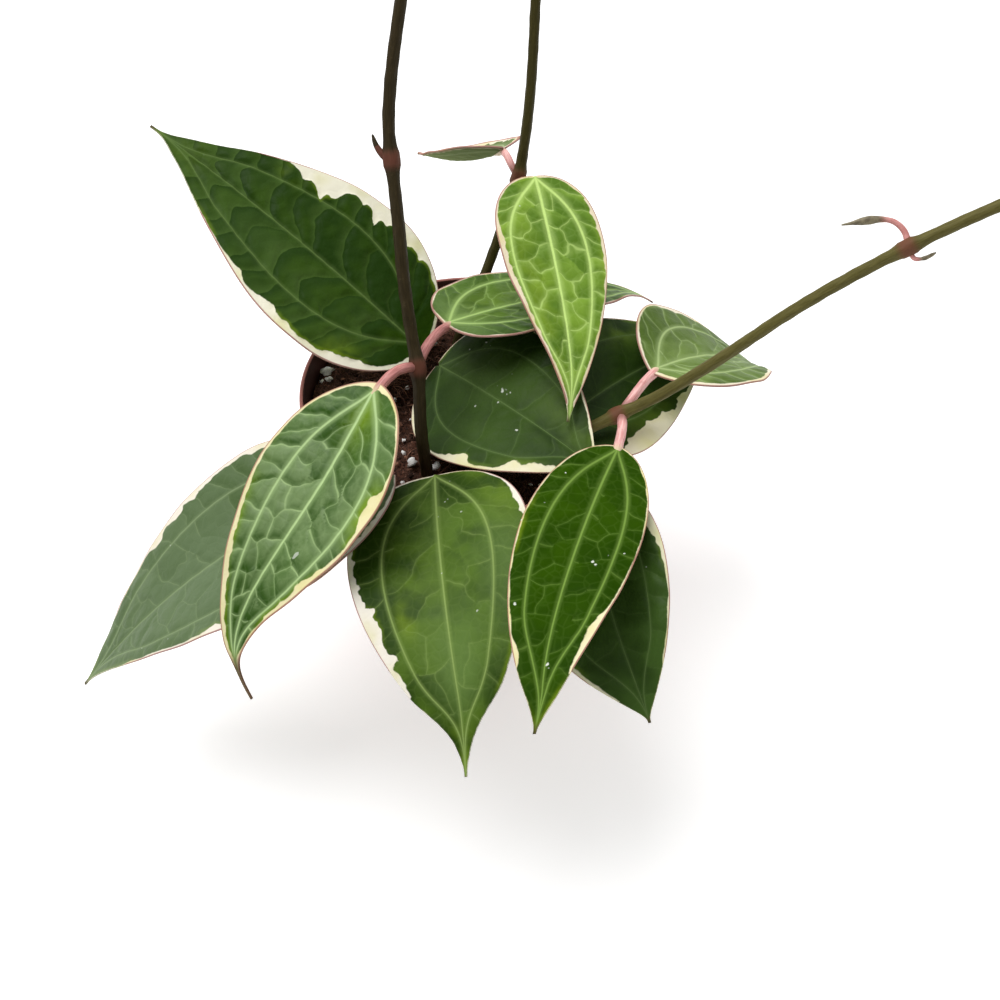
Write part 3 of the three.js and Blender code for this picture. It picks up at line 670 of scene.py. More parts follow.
def add_piece(name, verts, faces, material, stands_for=None, marks=None):
    """One finished piece from points in mm from the rim's middle. marks are its point attributes,
    a number or three for each point."""
    mesh = bpy.data.meshes.new(name)
    mesh.from_pydata(((verts + (0, 0, POT_HEIGHT)) * MM).tolist(), [], faces)
    mesh.shade_smooth()
    for key, values in (marks or {}).items():
        values = np.ascontiguousarray(values, np.float32)
        kind, field = ("FLOAT_VECTOR", "vector") if values.ndim == 2 else ("FLOAT", "value")
        mesh.attributes.new(key, kind, "POINT").data.foreach_set(field, values.ravel())
    mesh.materials.append(material)
    mesh.update()
    piece = bpy.data.objects.new(name, mesh)
    bpy.context.scene.collection.objects.link(piece)
    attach(piece, "root")
    if stands_for:
        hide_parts(stands_for)
    return piece


# The blade of a leaf


def half_width(leaf, s):
    """Half the blade's width in mm at s, 0 at the base to 1 at the tip: a power of s that fills the
    base times a power of 1 - s that narrows to the tip, 1 at its widest, thinned over the drip
    tip, and never less than the stalk's half-width at the base or a point's at the tip."""
    form = leaf["form"]
    widest = form["full"] / (form["full"] + form["taper"])
    outline = (s / widest) ** form["full"] * ((1 - s) / (1 - widest)) ** form["taper"]
    drip = form["drip"]
    tail = (1 - s) / (1 - s + drip) * (1 - widest + drip) / (1 - widest)
    start, end, share, _ = leaf["markings"]["tail"]
    tail = tail * (1 - share * step(s, start, end))
    least = BASE_HALF_WIDTH + (TIP_HALF_WIDTH - BASE_HALF_WIDTH) * s
    return np.hypot(0.5 * leaf["width"] * outline * tail, least)


def turn_matrix(leaf):
    """Rows of the rotation that lays the blade's own axes (ahead, left, up) in the plant: a roll
    about its length, a pitch that lifts its tip, then a yaw about the pot's axis."""
    yaw, pitch, roll = np.radians(leaf["turn"])
    cy, sy, cp, sp = np.cos(yaw), np.sin(yaw), np.cos(pitch), np.sin(pitch)
    cr, sr = np.cos(roll), np.sin(roll)
    turn_z = np.array([[cy, -sy, 0], [sy, cy, 0], [0, 0, 1]])
    turn_y = np.array([[cp, 0, -sp], [0, 1, 0], [sp, 0, cp]])
    turn_x = np.array([[1, 0, 0], [0, cr, -sr], [0, sr, cr]])
    return turn_z @ turn_y @ turn_x


def on_blade(leaf, s, u):
    """Points of the blade's middle surface at s along it and u across, -1 at the right margin to 1
    at the left, and the directions square to it. The midrib bends down evenly and hooks near the
    tip; each cross-section is a shallow V with a soft crease, cupped, turned by the twist; round
    the base the lobes reach back by a share that dies away with s."""
    form = leaf["form"]
    s, u = np.broadcast_arrays(s, u)
    length, width = leaf["length"], half_width(leaf, s)
    start, _, _, curl = leaf["markings"]["tail"]
    aside = curl * np.clip((s - start) / (1 - start), 0, 1) ** 2
    total, tip = np.radians(form["bend"]), np.radians(form["hook"])
    down = total * s + tip * s**6
    middle = length * np.stack([
        np.sin(total * s) / total,
        form["sweep"] * s**2 + form["curl"] * s**8,
        -(1 - np.cos(total * s)) / total - tip * s**7 / 7,
    ], -1)
    swing = 2 * form["sweep"] * s + 8 * form["curl"] * s**7
    ahead = unit(np.stack([np.cos(down), swing, -np.sin(down)], -1))
    left = unit(np.cross(np.stack([np.sin(down), 0 * s, np.cos(down)], -1), ahead))
    over = np.cross(ahead, left)
    twist = (np.radians(form["twist"]) * s)[..., None]
    left = left * np.cos(twist) + over * np.sin(twist)
    up = np.cross(ahead, left)
    soft = np.hypot(u, CREASE)
    rise = width * (form["fold"] * (soft - CREASE) - form["cup"] * u * u)
    slope = form["fold"] * u / soft - 2 * form["cup"] * u
    back = form["lobe"] * leaf["width"] * u * u * np.exp(-s / LOBE_REACH)
    points = middle + left * (aside + width * u * (1 + form["skew"] * np.tanh(8 * u)))[..., None]
    points = points + up * rise[..., None] - ahead * back[..., None]
    turn = turn_matrix(leaf)
    normals = unit(up - left * slope[..., None])
    return points @ turn.T + leaf["base"], normals @ turn.T


def blotches(spots, s, u):
    """Soft spots: each fades out from its middle as a bell over its own reach along s and u."""
    total = 0 * s
    for middle_s, middle_u, reach_s, reach_u, strength in spots:
        bell = np.exp(-(((s - middle_s) / reach_s) ** 2) - ((u - middle_u) / reach_u) ** 2)
        total = np.maximum(total, strength * bell)
    return total


def vein_net(p, q, rows, gap, band, jitter, seed):
    """The net of cross-veins between two long veins: the borders of cells round scattered middles.

    p counts gaps along the blade and q goes from 0 to 1 over the band. The middles stand half a
    gap apart from row to row, each moved by a random share of the jitter. A point lies in the
    cell of the nearest middle, and its distance from the border, in mm, is the difference of the
    two squared distances over twice the way between the two middles. Every other cell has that
    distance negative, once by its place along and once by its row, so that one of the two passes
    through 0 on each border and a line drawn there stays sharp between the mesh's points. Returns
    both, the distance, the way from the cell's middle towards the tip in half gaps, also negative
    in every other cell, a random share for the border and for the cell, and whether the border
    crosses the band."""
    places = []
    for ahead in range(-2, 3):
        for row in range(rows):
            i = np.floor(p) + ahead
            name = i + 31 * row + seed
            middle_p = i + 0.5 + 0.5 * (row % 2) + jitter * (chance(name, 1) - 0.5)
            middle_q = row + 0.5 + 0.5 * jitter * (chance(name, 2) - 0.5)
            y = (q * rows - middle_q) * band / rows
            places.append((i, row + 0 * i, (p - middle_p) * gap, y))
    i, row, x, y = np.stack(places, 1)
    square = x * x + y * y
    mine = square.argmin(0)[None]
    own = [np.take_along_axis(values, mine, 0) for values in (i, row, x, y, square)]
    apart = np.hypot(x - own[2], y - own[3])
    border = (square - own[4]) / (2 * np.maximum(apart, 1e-6))
    border = np.where(apart < 1e-6, 99, border)
    other = border.argmin(0)[None]
    next_i, next_row, border = (np.take_along_axis(v, other, 0)[0] for v in (i, row, border))
    own_i, own_row, own_x = own[0][0], own[1][0], own[2][0]
    by_place = np.where(own_i % 2 == 0, 1, -1)
    by_row = np.where(own_row % 2 == 0, 1, -1)
    # the way towards the tip, which sets each cell's painted shade and sheen
    slope_shade = own_x / (0.5 * gap) * by_place
    pair = chance(own_i + next_i + 17 * (own_row + next_row) + seed, 3)
    tone = chance(own_i + 31 * own_row + seed, 4)
    return border * by_place, border * by_row, border, slope_shade, pair, tone, own_row == next_row


def margin_distance(leaf, s, u):
    """Distance in mm of each point of the flattened blade from the nearest of many straight bits
    of its margin: the way to the foot of the perpendicular, or to the bit's nearer end."""
    ends = np.linspace(0, 1, MARGIN_BITS + 1) ** 1.3
    back = leaf["form"]["lobe"] * leaf["width"]
    margin_x = leaf["length"] * ends - back * np.exp(-ends / LOBE_REACH)
    margin_y = half_width(leaf, ends)
    step_x, step_y = np.diff(margin_x), np.diff(margin_y)
    x = (leaf["length"] * s - back * u * u * np.exp(-s / LOBE_REACH))[..., None] - margin_x[:-1]
    y = (np.abs(u) * half_width(leaf, s))[..., None] - margin_y[:-1]
    foot = np.clip((x * step_x + y * step_y) / (step_x**2 + step_y**2), 0, 1)
    return np.sqrt(((x - foot * step_x) ** 2 + (y - foot * step_y) ** 2).min(-1))


def both_nets(marks, left, flat, side_vein, seed):
    """The net of cross-veins inside the side veins and the one between them and the margin.

    Inside, the cells follow one another at the given gap, aslant and arched towards the tip.
    Outside, they stand off the side vein at two thirds of that gap. Small waves sway both. Returns
    what vein_net returns, chosen by where a point lies, and the outer net's own distance."""
    along, across, out, reach = flat
    line, beside = side_vein
    wobble = 0.7 * ripples(along, across, 15, seed) + 0.3 * ripples(along, across, 4.5, seed + 1)
    sway = 0.05 * ripples(along, across, 6, seed + 2)
    gap, slant = (np.where(left, marks[key][1], marks[key][0]) for key in ("gap", "slant"))
    half = np.where(left, 500, 0) + 7 * seed

    q = np.clip(out / np.maximum(line, 0.1), 0, 1)
    count = (along - slant * np.abs(across) + wobble) / gap - marks["arch"] * 4 * q * (1 - q)
    q = q + sway * 4 * q * (1 - q)
    inside = vein_net(count, q, marks["rows"][0], gap, line, marks["jitter"], half)

    gap = 0.66 * gap
    count = (along - 0.5 * beside + wobble) / gap
    q = np.clip((out - line) / np.maximum(reach - line, 0.1), 0, 1)
    band = reach - line
    outside = vein_net(count, q, marks["rows"][1], gap, band, 0.8 * marks["jitter"], half + 250)
    return [np.where(beside < 0, one, other) for one, other in zip(inside, outside)], outside[2]


def patch_depth(patches, s, u):
    """Depth in mm of the cream at each point's margin: straight lines between the places of the
    patches on its own side, and none beyond them."""
    depth = 0 * s
    for side, *knots in patches:
        places, depths = np.transpose(knots)
        patch = np.interp(s, places, depths, left=0, right=0)
        depth = np.maximum(depth, patch * (np.sign(u) == side))
    return depth


def fleck_edge(flecks, away, uneven):
    """How far in mm each point lies inside the nearest white fleck: the fleck's radius, made uneven,
    less the distance from its middle. It is -1 at the least."""
    inside = -1 + 0 * uneven
    for fleck_s, fleck_u, radius in flecks:
        inside = np.maximum(inside, radius * (1 + 0.4 * uneven) - away(fleck_s, fleck_u))
    return inside


def blade_lines(leaf, s, u, seed):
    """Everything that is drawn or raised on a blade, as arrays over its grid: its marks, and its
    relief in mm.

    Long veins are kept as signed distances in half-widths of the line, so they pass through 0
    along the vein and stay sharp between points. The side veins follow a share of the half-width
    that swells from the base and closes in at the tip. A cell of the net swells by one less the
    falling exponential of the distance from its nearest vein. Cream is how far a point lies
    inside the patches of the margin: their depth in mm, greater beside the net's veins, less the
    distance from the margin."""
    marks = leaf["markings"]
    length, width = leaf["length"], half_width(leaf, s)
    along = length * s
    middle = marks["shift"] * step(s, 0, 0.35)
    left = u > middle
    across = (u - middle) * width
    reach = width * np.where(left, 1 - middle, 1 + middle)
    out = np.abs(u - middle) / np.where(left, 1 - middle, 1 + middle) * reach

    share = np.where(left, marks["lateral"][1], marks["lateral"][0])
    line = share * (1 - np.exp(-s / 0.11)) * (1 - 0.85 * step(s, 0.7, 1.0)) * reach
    tilt = np.gradient(line, axis=0) / np.maximum(np.gradient(along, axis=0), 1e-6)
    beside = (out - line) / np.hypot(1, tilt)
    net, rim_border = both_nets(marks, left, (along, across, out, reach), (line, beside), seed)
    by_place, by_row, border, slope_shade, pair, tone, crossing = net

    fade = step(width, 2, 6) * step(s, 0.02, 0.09)
    # strength of the painted shade and sheen on each cell's slope
    slope_shade = marks["slope_shade"] * np.clip(slope_shade, -1, 1) * fade
    fine = marks["width"] * (0.3 + 0.25 * pair) * np.where(crossing, 1, 0.8) + 0.01
    drawn = crossing | (pair < marks["forks"])
    by_place, by_row = (np.clip(v / fine, -6, 6) for v in (by_place, by_row))
    shown = marks["net"] * drawn * (0.55 + 0.45 * pair) * fade
    thick = marks["width"] * (1 - 0.55 * s)
    midrib = np.clip(across / thick, -9, 9)
    lateral = np.clip(beside / (0.75 * thick * step(s, 0.0, 0.02) + 0.05), -9, 9)

    edge = margin_distance(leaf, s, u)
    depth = patch_depth(marks["cream"], s, u)
    depth = depth * (1 + marks["jag"] * (np.exp(-((rim_border / 1.3) ** 2)) - 0.3))
    small = ripples(along, across, 3.4, seed + 3) + 0.5 * ripples(along, across, 1.7, seed + 4)
    depth = depth + marks["ragged"] * small * step(depth, 0.4, 2)
    bare = step(s, *marks["bare"])
    trim = marks["trim"] * (1 + 0.3 * ripples(along, across, 7, seed + 5)) - 3 * bare
    cream = np.maximum(depth, trim) - edge

    nearest = np.minimum(np.where(drawn, border, 9), np.minimum(np.abs(across), np.abs(beside)))
    swell = 1 - np.exp(-((nearest / 1.5) ** 1.6))
    waves = 0.15 * ripples(along, across, 4.5, seed + 6)
    swell = marks["quilt"] * (swell * (0.8 + 0.4 * tone) + waves) * fade * step(edge, 0, 3)
    swell = swell * (1 - 0.85 * step(cream, -0.6, 0.6))
    groove = 0.12 * np.exp(-((across / (0.9 * thick)) ** 2)) * fade
    wave = marks["wave"] * ripples(along, across, 17, seed + 7) * np.abs(u) ** 4 * fade

    def away(fleck_s, fleck_u):
        """Distance in mm over the flattened blade from a fleck's middle."""
        return np.hypot((s - fleck_s) * length, (u - fleck_u) * width)

    return dict(
        veins=np.stack([midrib, lateral, edge + 3 * bare], -1),
        net=np.stack([by_place, by_row, shown], -1),
        cells=np.stack([nearest, tone, slope_shade], -1),
        # pale blotches, partly the leaf's own grey-green and partly painted sheen, and yellow-green
        # ones
        zones=np.stack([cream, *(blotches(marks[key], s, u) for key in ("pale", "lime"))], -1),
        # darker blotches of painted shade
        shade_blotches=blotches(marks["shade_blotches"], s, u),
        dry=step(s, *marks["dry"]),
        fleck=fleck_edge(marks["flecks"], away, small),
    ), swell - groove + wave


def blade_mesh(leaf, seed):
    """A closed blade, as points, faces and marks.

    At each s a loop of points runs over the top from the left margin to the right, round the edge,
    back under the blade on a coarser spacing, and round the other edge. Top and underside stand
    half the thickness off the middle surface, which is greatest along the midrib near the base,
    and both follow the same relief. The rows lie closer together at both ends."""
    t = np.linspace(0, 1, BLADE_ROWS + 1)
    s = np.clip(t - 0.08 * np.sin(2 * np.pi * t), 0, 1)[:, None]
    top = np.linspace(1, -1, BLADE_COLUMNS + 1)
    under = np.linspace(-1, 1, BLADE_COLUMNS // 4 + 1)
    u = np.concatenate([top, [-1], under, [1]])[None]
    height = np.concatenate([np.ones_like(top), [0], -np.ones_like(under), [0]])
    bulge = np.concatenate([0 * top, [-1], 0 * under, [1]])
    full_s, full_u = np.broadcast_arrays(s, u)
    marks, relief = blade_lines(leaf, full_s, full_u, seed)
    points, normals = on_blade(leaf, full_s, full_u)
    rib = np.exp(-((full_u / 0.25) ** 2)) * (1 - full_s)
    half = 0.5 * (MARGIN_THICKNESS + (MIDRIB_THICKNESS - MARGIN_THICKNESS) * rib)
    outward = unit(points[:, :1] - points[:, BLADE_COLUMNS:BLADE_COLUMNS + 1])
    verts = points + normals * (half * height + relief)[..., None]
    verts = verts + outward * (0.3 * half * bulge)[..., None]
    ends = verts[[0, -1]].mean(1)
    marks = {
        key: np.concatenate([value.reshape(-1, *value.shape[2:]), value[[0, -1]].mean(1)])
        for key, value in marks.items()
    }
    marks["under"] = np.append(np.broadcast_to(height < -0.5, full_s.shape).ravel(), [0, 0])
    verts = np.vstack([verts.reshape(-1, 3), ends])
    return verts, sleeve(BLADE_ROWS + 1, u.shape[1]), marks


# Materials


class Value:
    """A socket in a graph. Python arithmetic on it adds the Math nodes that work it out."""

    def __init__(self, graph, socket):
        self.graph, self.socket = graph, socket

    def _math(self, operation, *numbers):
        """The result of a Math node on values and plain numbers."""
        return self.graph.node("Math", {"operation": operation}, dict(enumerate(numbers)))

    def __add__(self, other):
        return self._math("ADD", self, other)

    def __sub__(self, other):
        return self._math("SUBTRACT", self, other)

    def __rsub__(self, other):
        return self._math("SUBTRACT", other, self)

    def __mul__(self, other):
        return self._math("MULTIPLY", self, other)

    def __abs__(self):
        return self._math("ABSOLUTE", self)

    def max(self, other):
        """The larger of the two."""
        return self._math("MAXIMUM", self, other)

    __radd__ = __add__
    __rmul__ = __mul__


class Graph:
    """The nodes of a material or of the world, emptied to start with."""

    def __init__(self, owner):
        owner.use_nodes = True
        self.tree = owner.node_tree
        self.tree.nodes.clear()

    def node(self, kind, settings=None, inputs=None, output=0):
        """Adds a node: its settings first, then the values or links of its sockets."""
        made = self.tree.nodes.new("ShaderNode" + kind)
        for key, value in (settings or {}).items():
            setattr(made, key, value)
        for key, value in (inputs or {}).items():
            if isinstance(value, Value):
                self.tree.links.new(value.socket, made.inputs[key])
            else:
                made.inputs[key].default_value = value
        return Value(self, made.outputs[output]) if made.outputs else made


class Finish(Graph):
    """The node graph of one material."""

    def __init__(self, name):
        self.material = bpy.data.materials.new(name)
        super().__init__(self.material)

    def place(self):
        """Where a point lies on its piece."""
        return self.node("TexCoord", output="Object")

    def mark(self, name):
        """A point attribute that holds one number."""
        return self.node("Attribute", {"attribute_name": name}, output="Fac")

    def marks(self, name):
        """The three numbers of a point attribute."""
        vector = self.node("Attribute", {"attribute_name": name}, output="Vector")
        return [self.node("SeparateXYZ", inputs={0: vector}, output=k) for k in range(3)]

    def stretched(self, place, scale):
        """A place to read a pattern at, scaled along its three axes."""
        return self.node("Mapping", inputs={"Vector": place, "Scale": scale})

    def streaks(self, scale, detail, along):
        """Noise drawn out along a stem or stalk."""
        place = self.node("Attribute", {"attribute_name": "around"}, output="Vector")
        return self.noise(scale, detail, at=self.stretched(place, (1.0, 1.0, along)))

    def noise(self, scale, detail=3, rough=0.55, at=None):
        """Smooth noise from 0 to 1, with detail finer layers on it, each weaker by rough."""
        inputs = {"Vector": at or self.place(), "Scale": scale, "Detail": detail}
        return self.node("TexNoise", inputs={**inputs, "Roughness": rough})

    def step(self, value, low, high):
        """0 below low, 1 above high, smooth between."""
        inputs = {"Value": value, "From Min": low, "From Max": high}
        return self.node("MapRange", {"interpolation_type": "SMOOTHSTEP"}, inputs)

    def near(self, distance, low, high):
        """1 within low of 0 either way, 0 beyond high, smooth between."""
        return 1 - self.step(abs(distance), low, high)

    def mix(self, factor, one, other):
        """The first colour where the factor is 0, the second where it is 1."""
        one, other = (c if isinstance(c, Value) else linear(c) for c in (one, other))
        settings = {"data_type": "RGBA", "clamp_factor": True}
        return self.node("Mix", settings, {0: factor, 6: one, 7: other}, output=2)

    def tint(self, base, colour, pattern, low, high, strength=None):
        """The base, covered by the colour where the pattern rises from low to high."""
        cover = self.step(pattern, low, high)
        return self.mix(cover * strength if strength else cover, base, colour)

    def finish(self, colour, roughness, height=None, depth=0.0001, **fixed):
        """Ends the graph in a Principled shader. height feeds a Bump node over depth in metres."""
        inputs = {"Base Color": colour, "Roughness": roughness}
        inputs.update({key.replace("_", " "): value for key, value in fixed.items()})
        if height is not None:
            inputs["Normal"] = self.node("Bump", inputs={"Distance": depth, "Height": height})
        shader = self.node("BsdfPrincipled", inputs=inputs)
        self.node("OutputMaterial", inputs={"Surface": shader})
        return self.material


class LeafFinish(Finish):
    """The parts of a blade's skin, each worked out from the blade's marks."""

    def __init__(self, name, colours):
        super().__init__(name)
        self.colours = colours
        self.midrib, self.lateral, self.edge = self.marks("veins")
        self.by_place, self.by_row, self.shown = self.marks("net")
        self.nearest, self.tone, self.slope_shade = self.marks("cells")
        self.cream, self.pale, self.lime = self.marks("zones")
        self.broad, self.fine, self.cloud = self.noise(90, 2), self.noise(700, 3), self.noise(38, 2)
        pattern = {"Vector": self.place(), "Scale": 330.0}
        self.web = self.node("TexVoronoi", {"feature": "DISTANCE_TO_EDGE"}, pattern)

    def cells(self):
        """Uneven green, with painted shade that deepens each cell towards its tip and in the darker
        blotches, painted sheen that pales each cell towards its base and on its swelling middle, pale
        blotches that are partly the leaf's own grey-green and partly painted sheen, yellow-green
        blotches and the finest net."""
        deep, pale = self.colours["deep"], self.colours["pale"]
        uneven = self.broad + 0.3 * (self.tone - 0.5)
        green = self.tint(deep, self.colours["green"], uneven, 0.3, 0.7)
        # pale blotches: partly the leaf's own grey-green, partly painted sheen
        green = self.mix(self.pale * (0.5 + 0.9 * self.cloud), green, pale)
        # painted sheen on the swelling middle of each cell
        sheen_on_domes = self.step(self.nearest, 0.3, 3.4) * self.step(self.cloud + 0.6 * self.fine, 0.55, 1.0)
        green = self.mix(sheen_on_domes * self.colours["dome_sheen"], green, pale)
        # painted shade deepens each cell towards its tip and in the darker blotches; painted sheen
        # pales it towards its base
        front = 2 * self.step(self.by_place, -0.6, 0.6) - 1
        uneven = self.slope_shade * front + self.mark("shade_blotches") + 0.6 * (self.broad - 0.5)
        green = self.tint(green, deep, uneven, 0.0, 1.0, 0.9)
        green = self.tint(green, pale, uneven * -1.0, 0.1, 1.2, 0.8)
        green = self.mix(self.lime * self.step(self.broad, 0.3, 0.55), green, self.colours["lime"])
        web = (1 - self.step(self.web, 0.0, 0.12)) * self.colours["web"]
        return self.mix(web, green, self.colours["vein"])

    def veins(self):
        """How much of the long veins and of the net shows, and the same with the soft pale bands
        beside them."""
        uneven = 0.2 + 1.3 * self.noise(170, 2)
        veins = self.near(self.midrib, 0.1, 1.7).max(self.near(self.lateral, 0.1, 1.7) * 0.9)
        net = (self.near(self.by_place, 0.1, 1.7) * 0.7).max(self.near(self.by_row, 0.1, 1.7) * 0.7)
        veins = veins.max(net * uneven * self.shown)
        bands = self.near(self.midrib, 0.5, 4.5).max(self.near(self.lateral, 0.5, 4.0)) * 0.34
        bands = bands.max(self.near(self.by_place, 0.0, 5.0) * uneven * self.shown * 0.26)
        return veins, bands.max(veins)

    def margin(self, skin, pink):
        """The skin with its cream patches, their yellow-green fringe and the thin pink edge."""
        frayed = self.cream + 0.4 * (self.fine - 0.5)
        fringe = self.step(frayed, -1.5, -0.1) * self.step(self.cloud, 0.5, 0.62) * 0.6
        skin = self.mix(fringe, skin, self.colours["lime"])
        cream = self.colours["cream"]
        warm = [int(part * c) for part, c in zip((0.95, 0.95, 0.82), cream)]
        ivory = self.tint(cream, warm, self.broad, 0.4, 0.75)
        skin = self.tint(skin, ivory, frayed, -0.2, 0.16)
        blush = 1 - self.step(self.edge + 0.3 * (self.broad - 0.5), 0.4 * pink, 1.5 * pink)
        return self.mix(blush * 0.75, skin, COLOURS["leaf_edge"])

    def dust(self):
        """A few white specks, each the middle of a random cell, and the blade's own flecks."""
        pattern = {"Vector": self.place(), "Scale": 340.0}
        away = self.node("TexVoronoi", inputs=pattern)
        share = self.node("TexVoronoi", inputs=pattern, output="Color")
        share = self.node("SeparateXYZ", inputs={0: share})
        specks = (1 - self.step(away, 0.05, 0.12)) * self.step(share + 0.5 * self.broad, 1.2, 1.23)
        flecks = self.step(self.mark("fleck") + 0.5 * (self.fine - 0.5), -0.1, 0.15) * 0.9
        return specks.max(flecks)


def leaf_finish(name, colours, pink):
    """Thick leathery skin: cells of uneven green with painted shade that deepens each towards the tip
    and painted sheen, paler veins between them, a cream margin with a yellow-green fringe, a thin
    pink edge, a paler underside and a few white specks of dust."""
    f = LeafFinish(name, colours)
    veins, bands = f.veins()
    skin = f.mix(bands * colours["strength"], f.cells(), colours["vein"])
    skin = f.margin(skin, pink)
    skin = f.mix(f.mark("under") * 0.6, skin, COLOURS["underside"])
    skin = f.mix(f.dust() * colours["specks"], skin, COLOURS["dust"])
    skin = f.mix(f.mark("dry") * 0.85, skin, COLOURS["dry_tip"])
    rough = colours["gloss"] + 0.12 * (f.fine - 0.5) + 0.1 * veins
    height = 0.6 * f.fine + 0.5 * f.step(f.web, 0.0, 0.2) - 0.6 * veins
    return f.finish(skin, rough, height, 0.00006, Specular_IOR_Level=colours["shine"])


def stalk_finish(name):
    """Juicy pink leaf stalks, mottled and faintly streaked along, a little yellower near the
    blade."""
    f = Finish(name)
    dots = f.noise(520, 3)
    pink = f.tint(*COLOURS[name], f.streaks(2.2, 4, 0.12), 0.35, 0.7)
    pink = f.tint(pink, COLOURS["stalk_dots"], dots, 0.58, 0.75, 0.35)
    pink = f.mix(f.mark("end") * 0.8, pink, COLOURS["stalk_by_blade"])
    pink = f.mix(f.mark("start") * 0.8, pink, COLOURS["stalk_by_stem"])
    return f.finish(pink, 0.4 + 0.15 * dots, dots, 0.00008, Specular_IOR_Level=0.45)


def stem_finish(name, light, dark, pink):
    """Green bark: streaks along the stem, darker flecks, and a blush on the swollen nodes."""
    f = Finish(name)
    streak, flecks = f.streaks(3.0, 5, 0.1), f.noise(640, 4, 0.7)
    bark = f.tint(dark, light, streak, 0.15, 0.8)
    bark = f.tint(bark, COLOURS["bark_flecks"], flecks, 0.6, 0.72, 0.2)
    node = f.mark("node") + 0.4 * (streak - 0.5)
    bark = f.tint(bark, COLOURS["bark_node"], node, 0.2, 1.0, pink)
    height = streak + 0.6 * flecks
    return f.finish(bark, 0.5 + 0.2 * flecks, height, 0.00005, Specular_IOR_Level=0.15)


def young_finish():
    """Unopened blades: a pink stalk and a folded blade in greenish brown."""
    f = Finish("young_leaf")
    grain = f.noise(420, 3)
    stalk = f.tint(*COLOURS["young_stalk"], grain, 0.3, 0.7)
    blade = f.tint(*COLOURS["young_blade"], grain, 0.35, 0.65)
    return f.finish(f.mix(f.mark("end"), stalk, blade), 0.5 + 0.2 * grain, grain)


def pot_finish(colour):
    """Thin moulded plastic, dusty terracotta: soft mottling, faint scuffs round the wall, dry
    soil marks, a dark inside wall of dirt and painted shade, and a little shine."""
    f = Finish("nursery_pot")
    cloud, grain = f.noise(28, 4), f.noise(1400, 2)
    scuff = f.noise(1.0, 5, 0.6, at=f.stretched(f.place(), (12.0, 12.0, 260.0)))
    plastic = f.tint([c * 0.86 for c in colour], colour, cloud, 0.3, 0.72)
    plastic = f.tint(plastic, COLOURS["pot_scuffs"], scuff, 0.58, 0.8, 0.3)
    plastic = f.tint(plastic, COLOURS["pot_soil_marks"], f.noise(150, 5, 0.7), 0.62, 0.74, 0.5)
    # the inside wall darkened with dirt and painted shade
    plastic = f.mix(f.mark("inside") * 0.88, plastic, COLOURS["pot_inside_dirt_and_shade"])
    return f.finish(plastic, 0.45 + 0.18 * scuff, grain + 0.6 * scuff, 0.00005)


def peat_finish():
    """Moist fibrous peat: near-black to warm brown grains, with paler dry crumbs."""
    f = Finish("peat")
    grain, clump = f.noise(1500, 5, 0.75), f.noise(210, 4, 0.65)
    brown = f.tint(*COLOURS["peat"], grain, 0.36, 0.64)
    brown = f.tint(brown, COLOURS["peat_clumps"], clump, 0.42, 0.7, 0.7)
    brown = f.tint(brown, COLOURS["peat_dry_grains"], f.noise(2600, 2), 0.62, 0.72, 0.6)
    return f.finish(brown, 0.85 + 0.1 * grain, grain + clump, 0.0004, Specular_IOR_Level=0.25)


def crumb_finish():
    """Loose peat crumbs and fibres, each of its own brown."""
    f = Finish("peat_crumbs")
    grain = f.noise(1800, 4, 0.7)
    brown = f.mix(f.mark("tone"), *COLOURS["crumbs"])
    brown = f.tint(brown, COLOURS["crumb_grain"], grain, 0.4, 0.7, 0.5)
    return f.finish(brown, 0.8 + 0.15 * grain, grain, 0.0003, Specular_IOR_Level=0.25)


def perlite_finish():
    """Puffed white perlite with tiny pores and a little peat dust."""
    f = Finish("perlite")
    pores, dust = f.noise(2400, 4, 0.7), f.noise(500, 4)
    white = f.tint(*COLOURS["perlite"], pores, 0.25, 0.5)
    white = f.tint(white, COLOURS["perlite_dust"], dust, 0.6, 0.76, 0.35)
    return f.finish(white, 0.85 + 0.1 * dust, pores, 0.0003, Specular_IOR_Level=0.3)


# Sizes and colours that a user would change


class PlantLooks(PropertyGroup):
    """What a user would change about the plant."""

    quilting: FloatProperty(
        name="Quilting", description="Times the swelling between a leaf's veins", default=1.0,
        min=0, max=1.2, subtype="FACTOR",
    )
    pink_edge: FloatProperty(
        name="Pink edge", description="Times the width of the pink line round a leaf", default=1.0,
        min=0, max=2, subtype="FACTOR",
    )
    pot_colour: FloatVectorProperty(
        name="Pot colour", description="The pot's plastic", default=[c / 255 for c in COLOURS["pot"]],
        min=0, max=1, subtype="COLOR_GAMMA",
    )
    stalk_radius: FloatProperty(
        name="Stalk radius", description="Radius of a leaf stalk", default=STALK_RADIUS * MM,
        unit="LENGTH",
    )


class GroundLooks(PropertyGroup):
    """What a user would change about the potting soil."""

    crumbs: IntProperty(
        name="Crumbs", description="Loose peat crumbs on the soil", default=900, min=1
    )
    fibres: IntProperty(name="Fibres", description="Peat fibres on the soil", default=320, min=1)
    perlite: IntProperty(
        name="Perlite", description="Small white lumps on the soil", default=90, min=0
    )
    relief: FloatProperty(
        name="Relief", description="Height of the soil's roughness", default=0.9 * MM,
        unit="LENGTH",
    )


class StageLooks(PropertyGroup):
    """The floor and the light."""

    sky: FloatProperty(
        name="Walls", description="Strength of the light from the studio's walls", default=0.7,
        min=0,
    )
    softbox: FloatProperty(
        name="Softbox", description="Power of the large light overhead", default=9.0, unit="POWER"
    )
    glow: FloatProperty(
        name="Glow", description="Light that the floor itself gives", default=0.5, min=0
    )
    floor: FloatVectorProperty(
        name="Floor", description="Colour of the floor", subtype="COLOR",
        default=(0.82, 0.82, 0.82), min=0, max=1,
    )


# Pieces


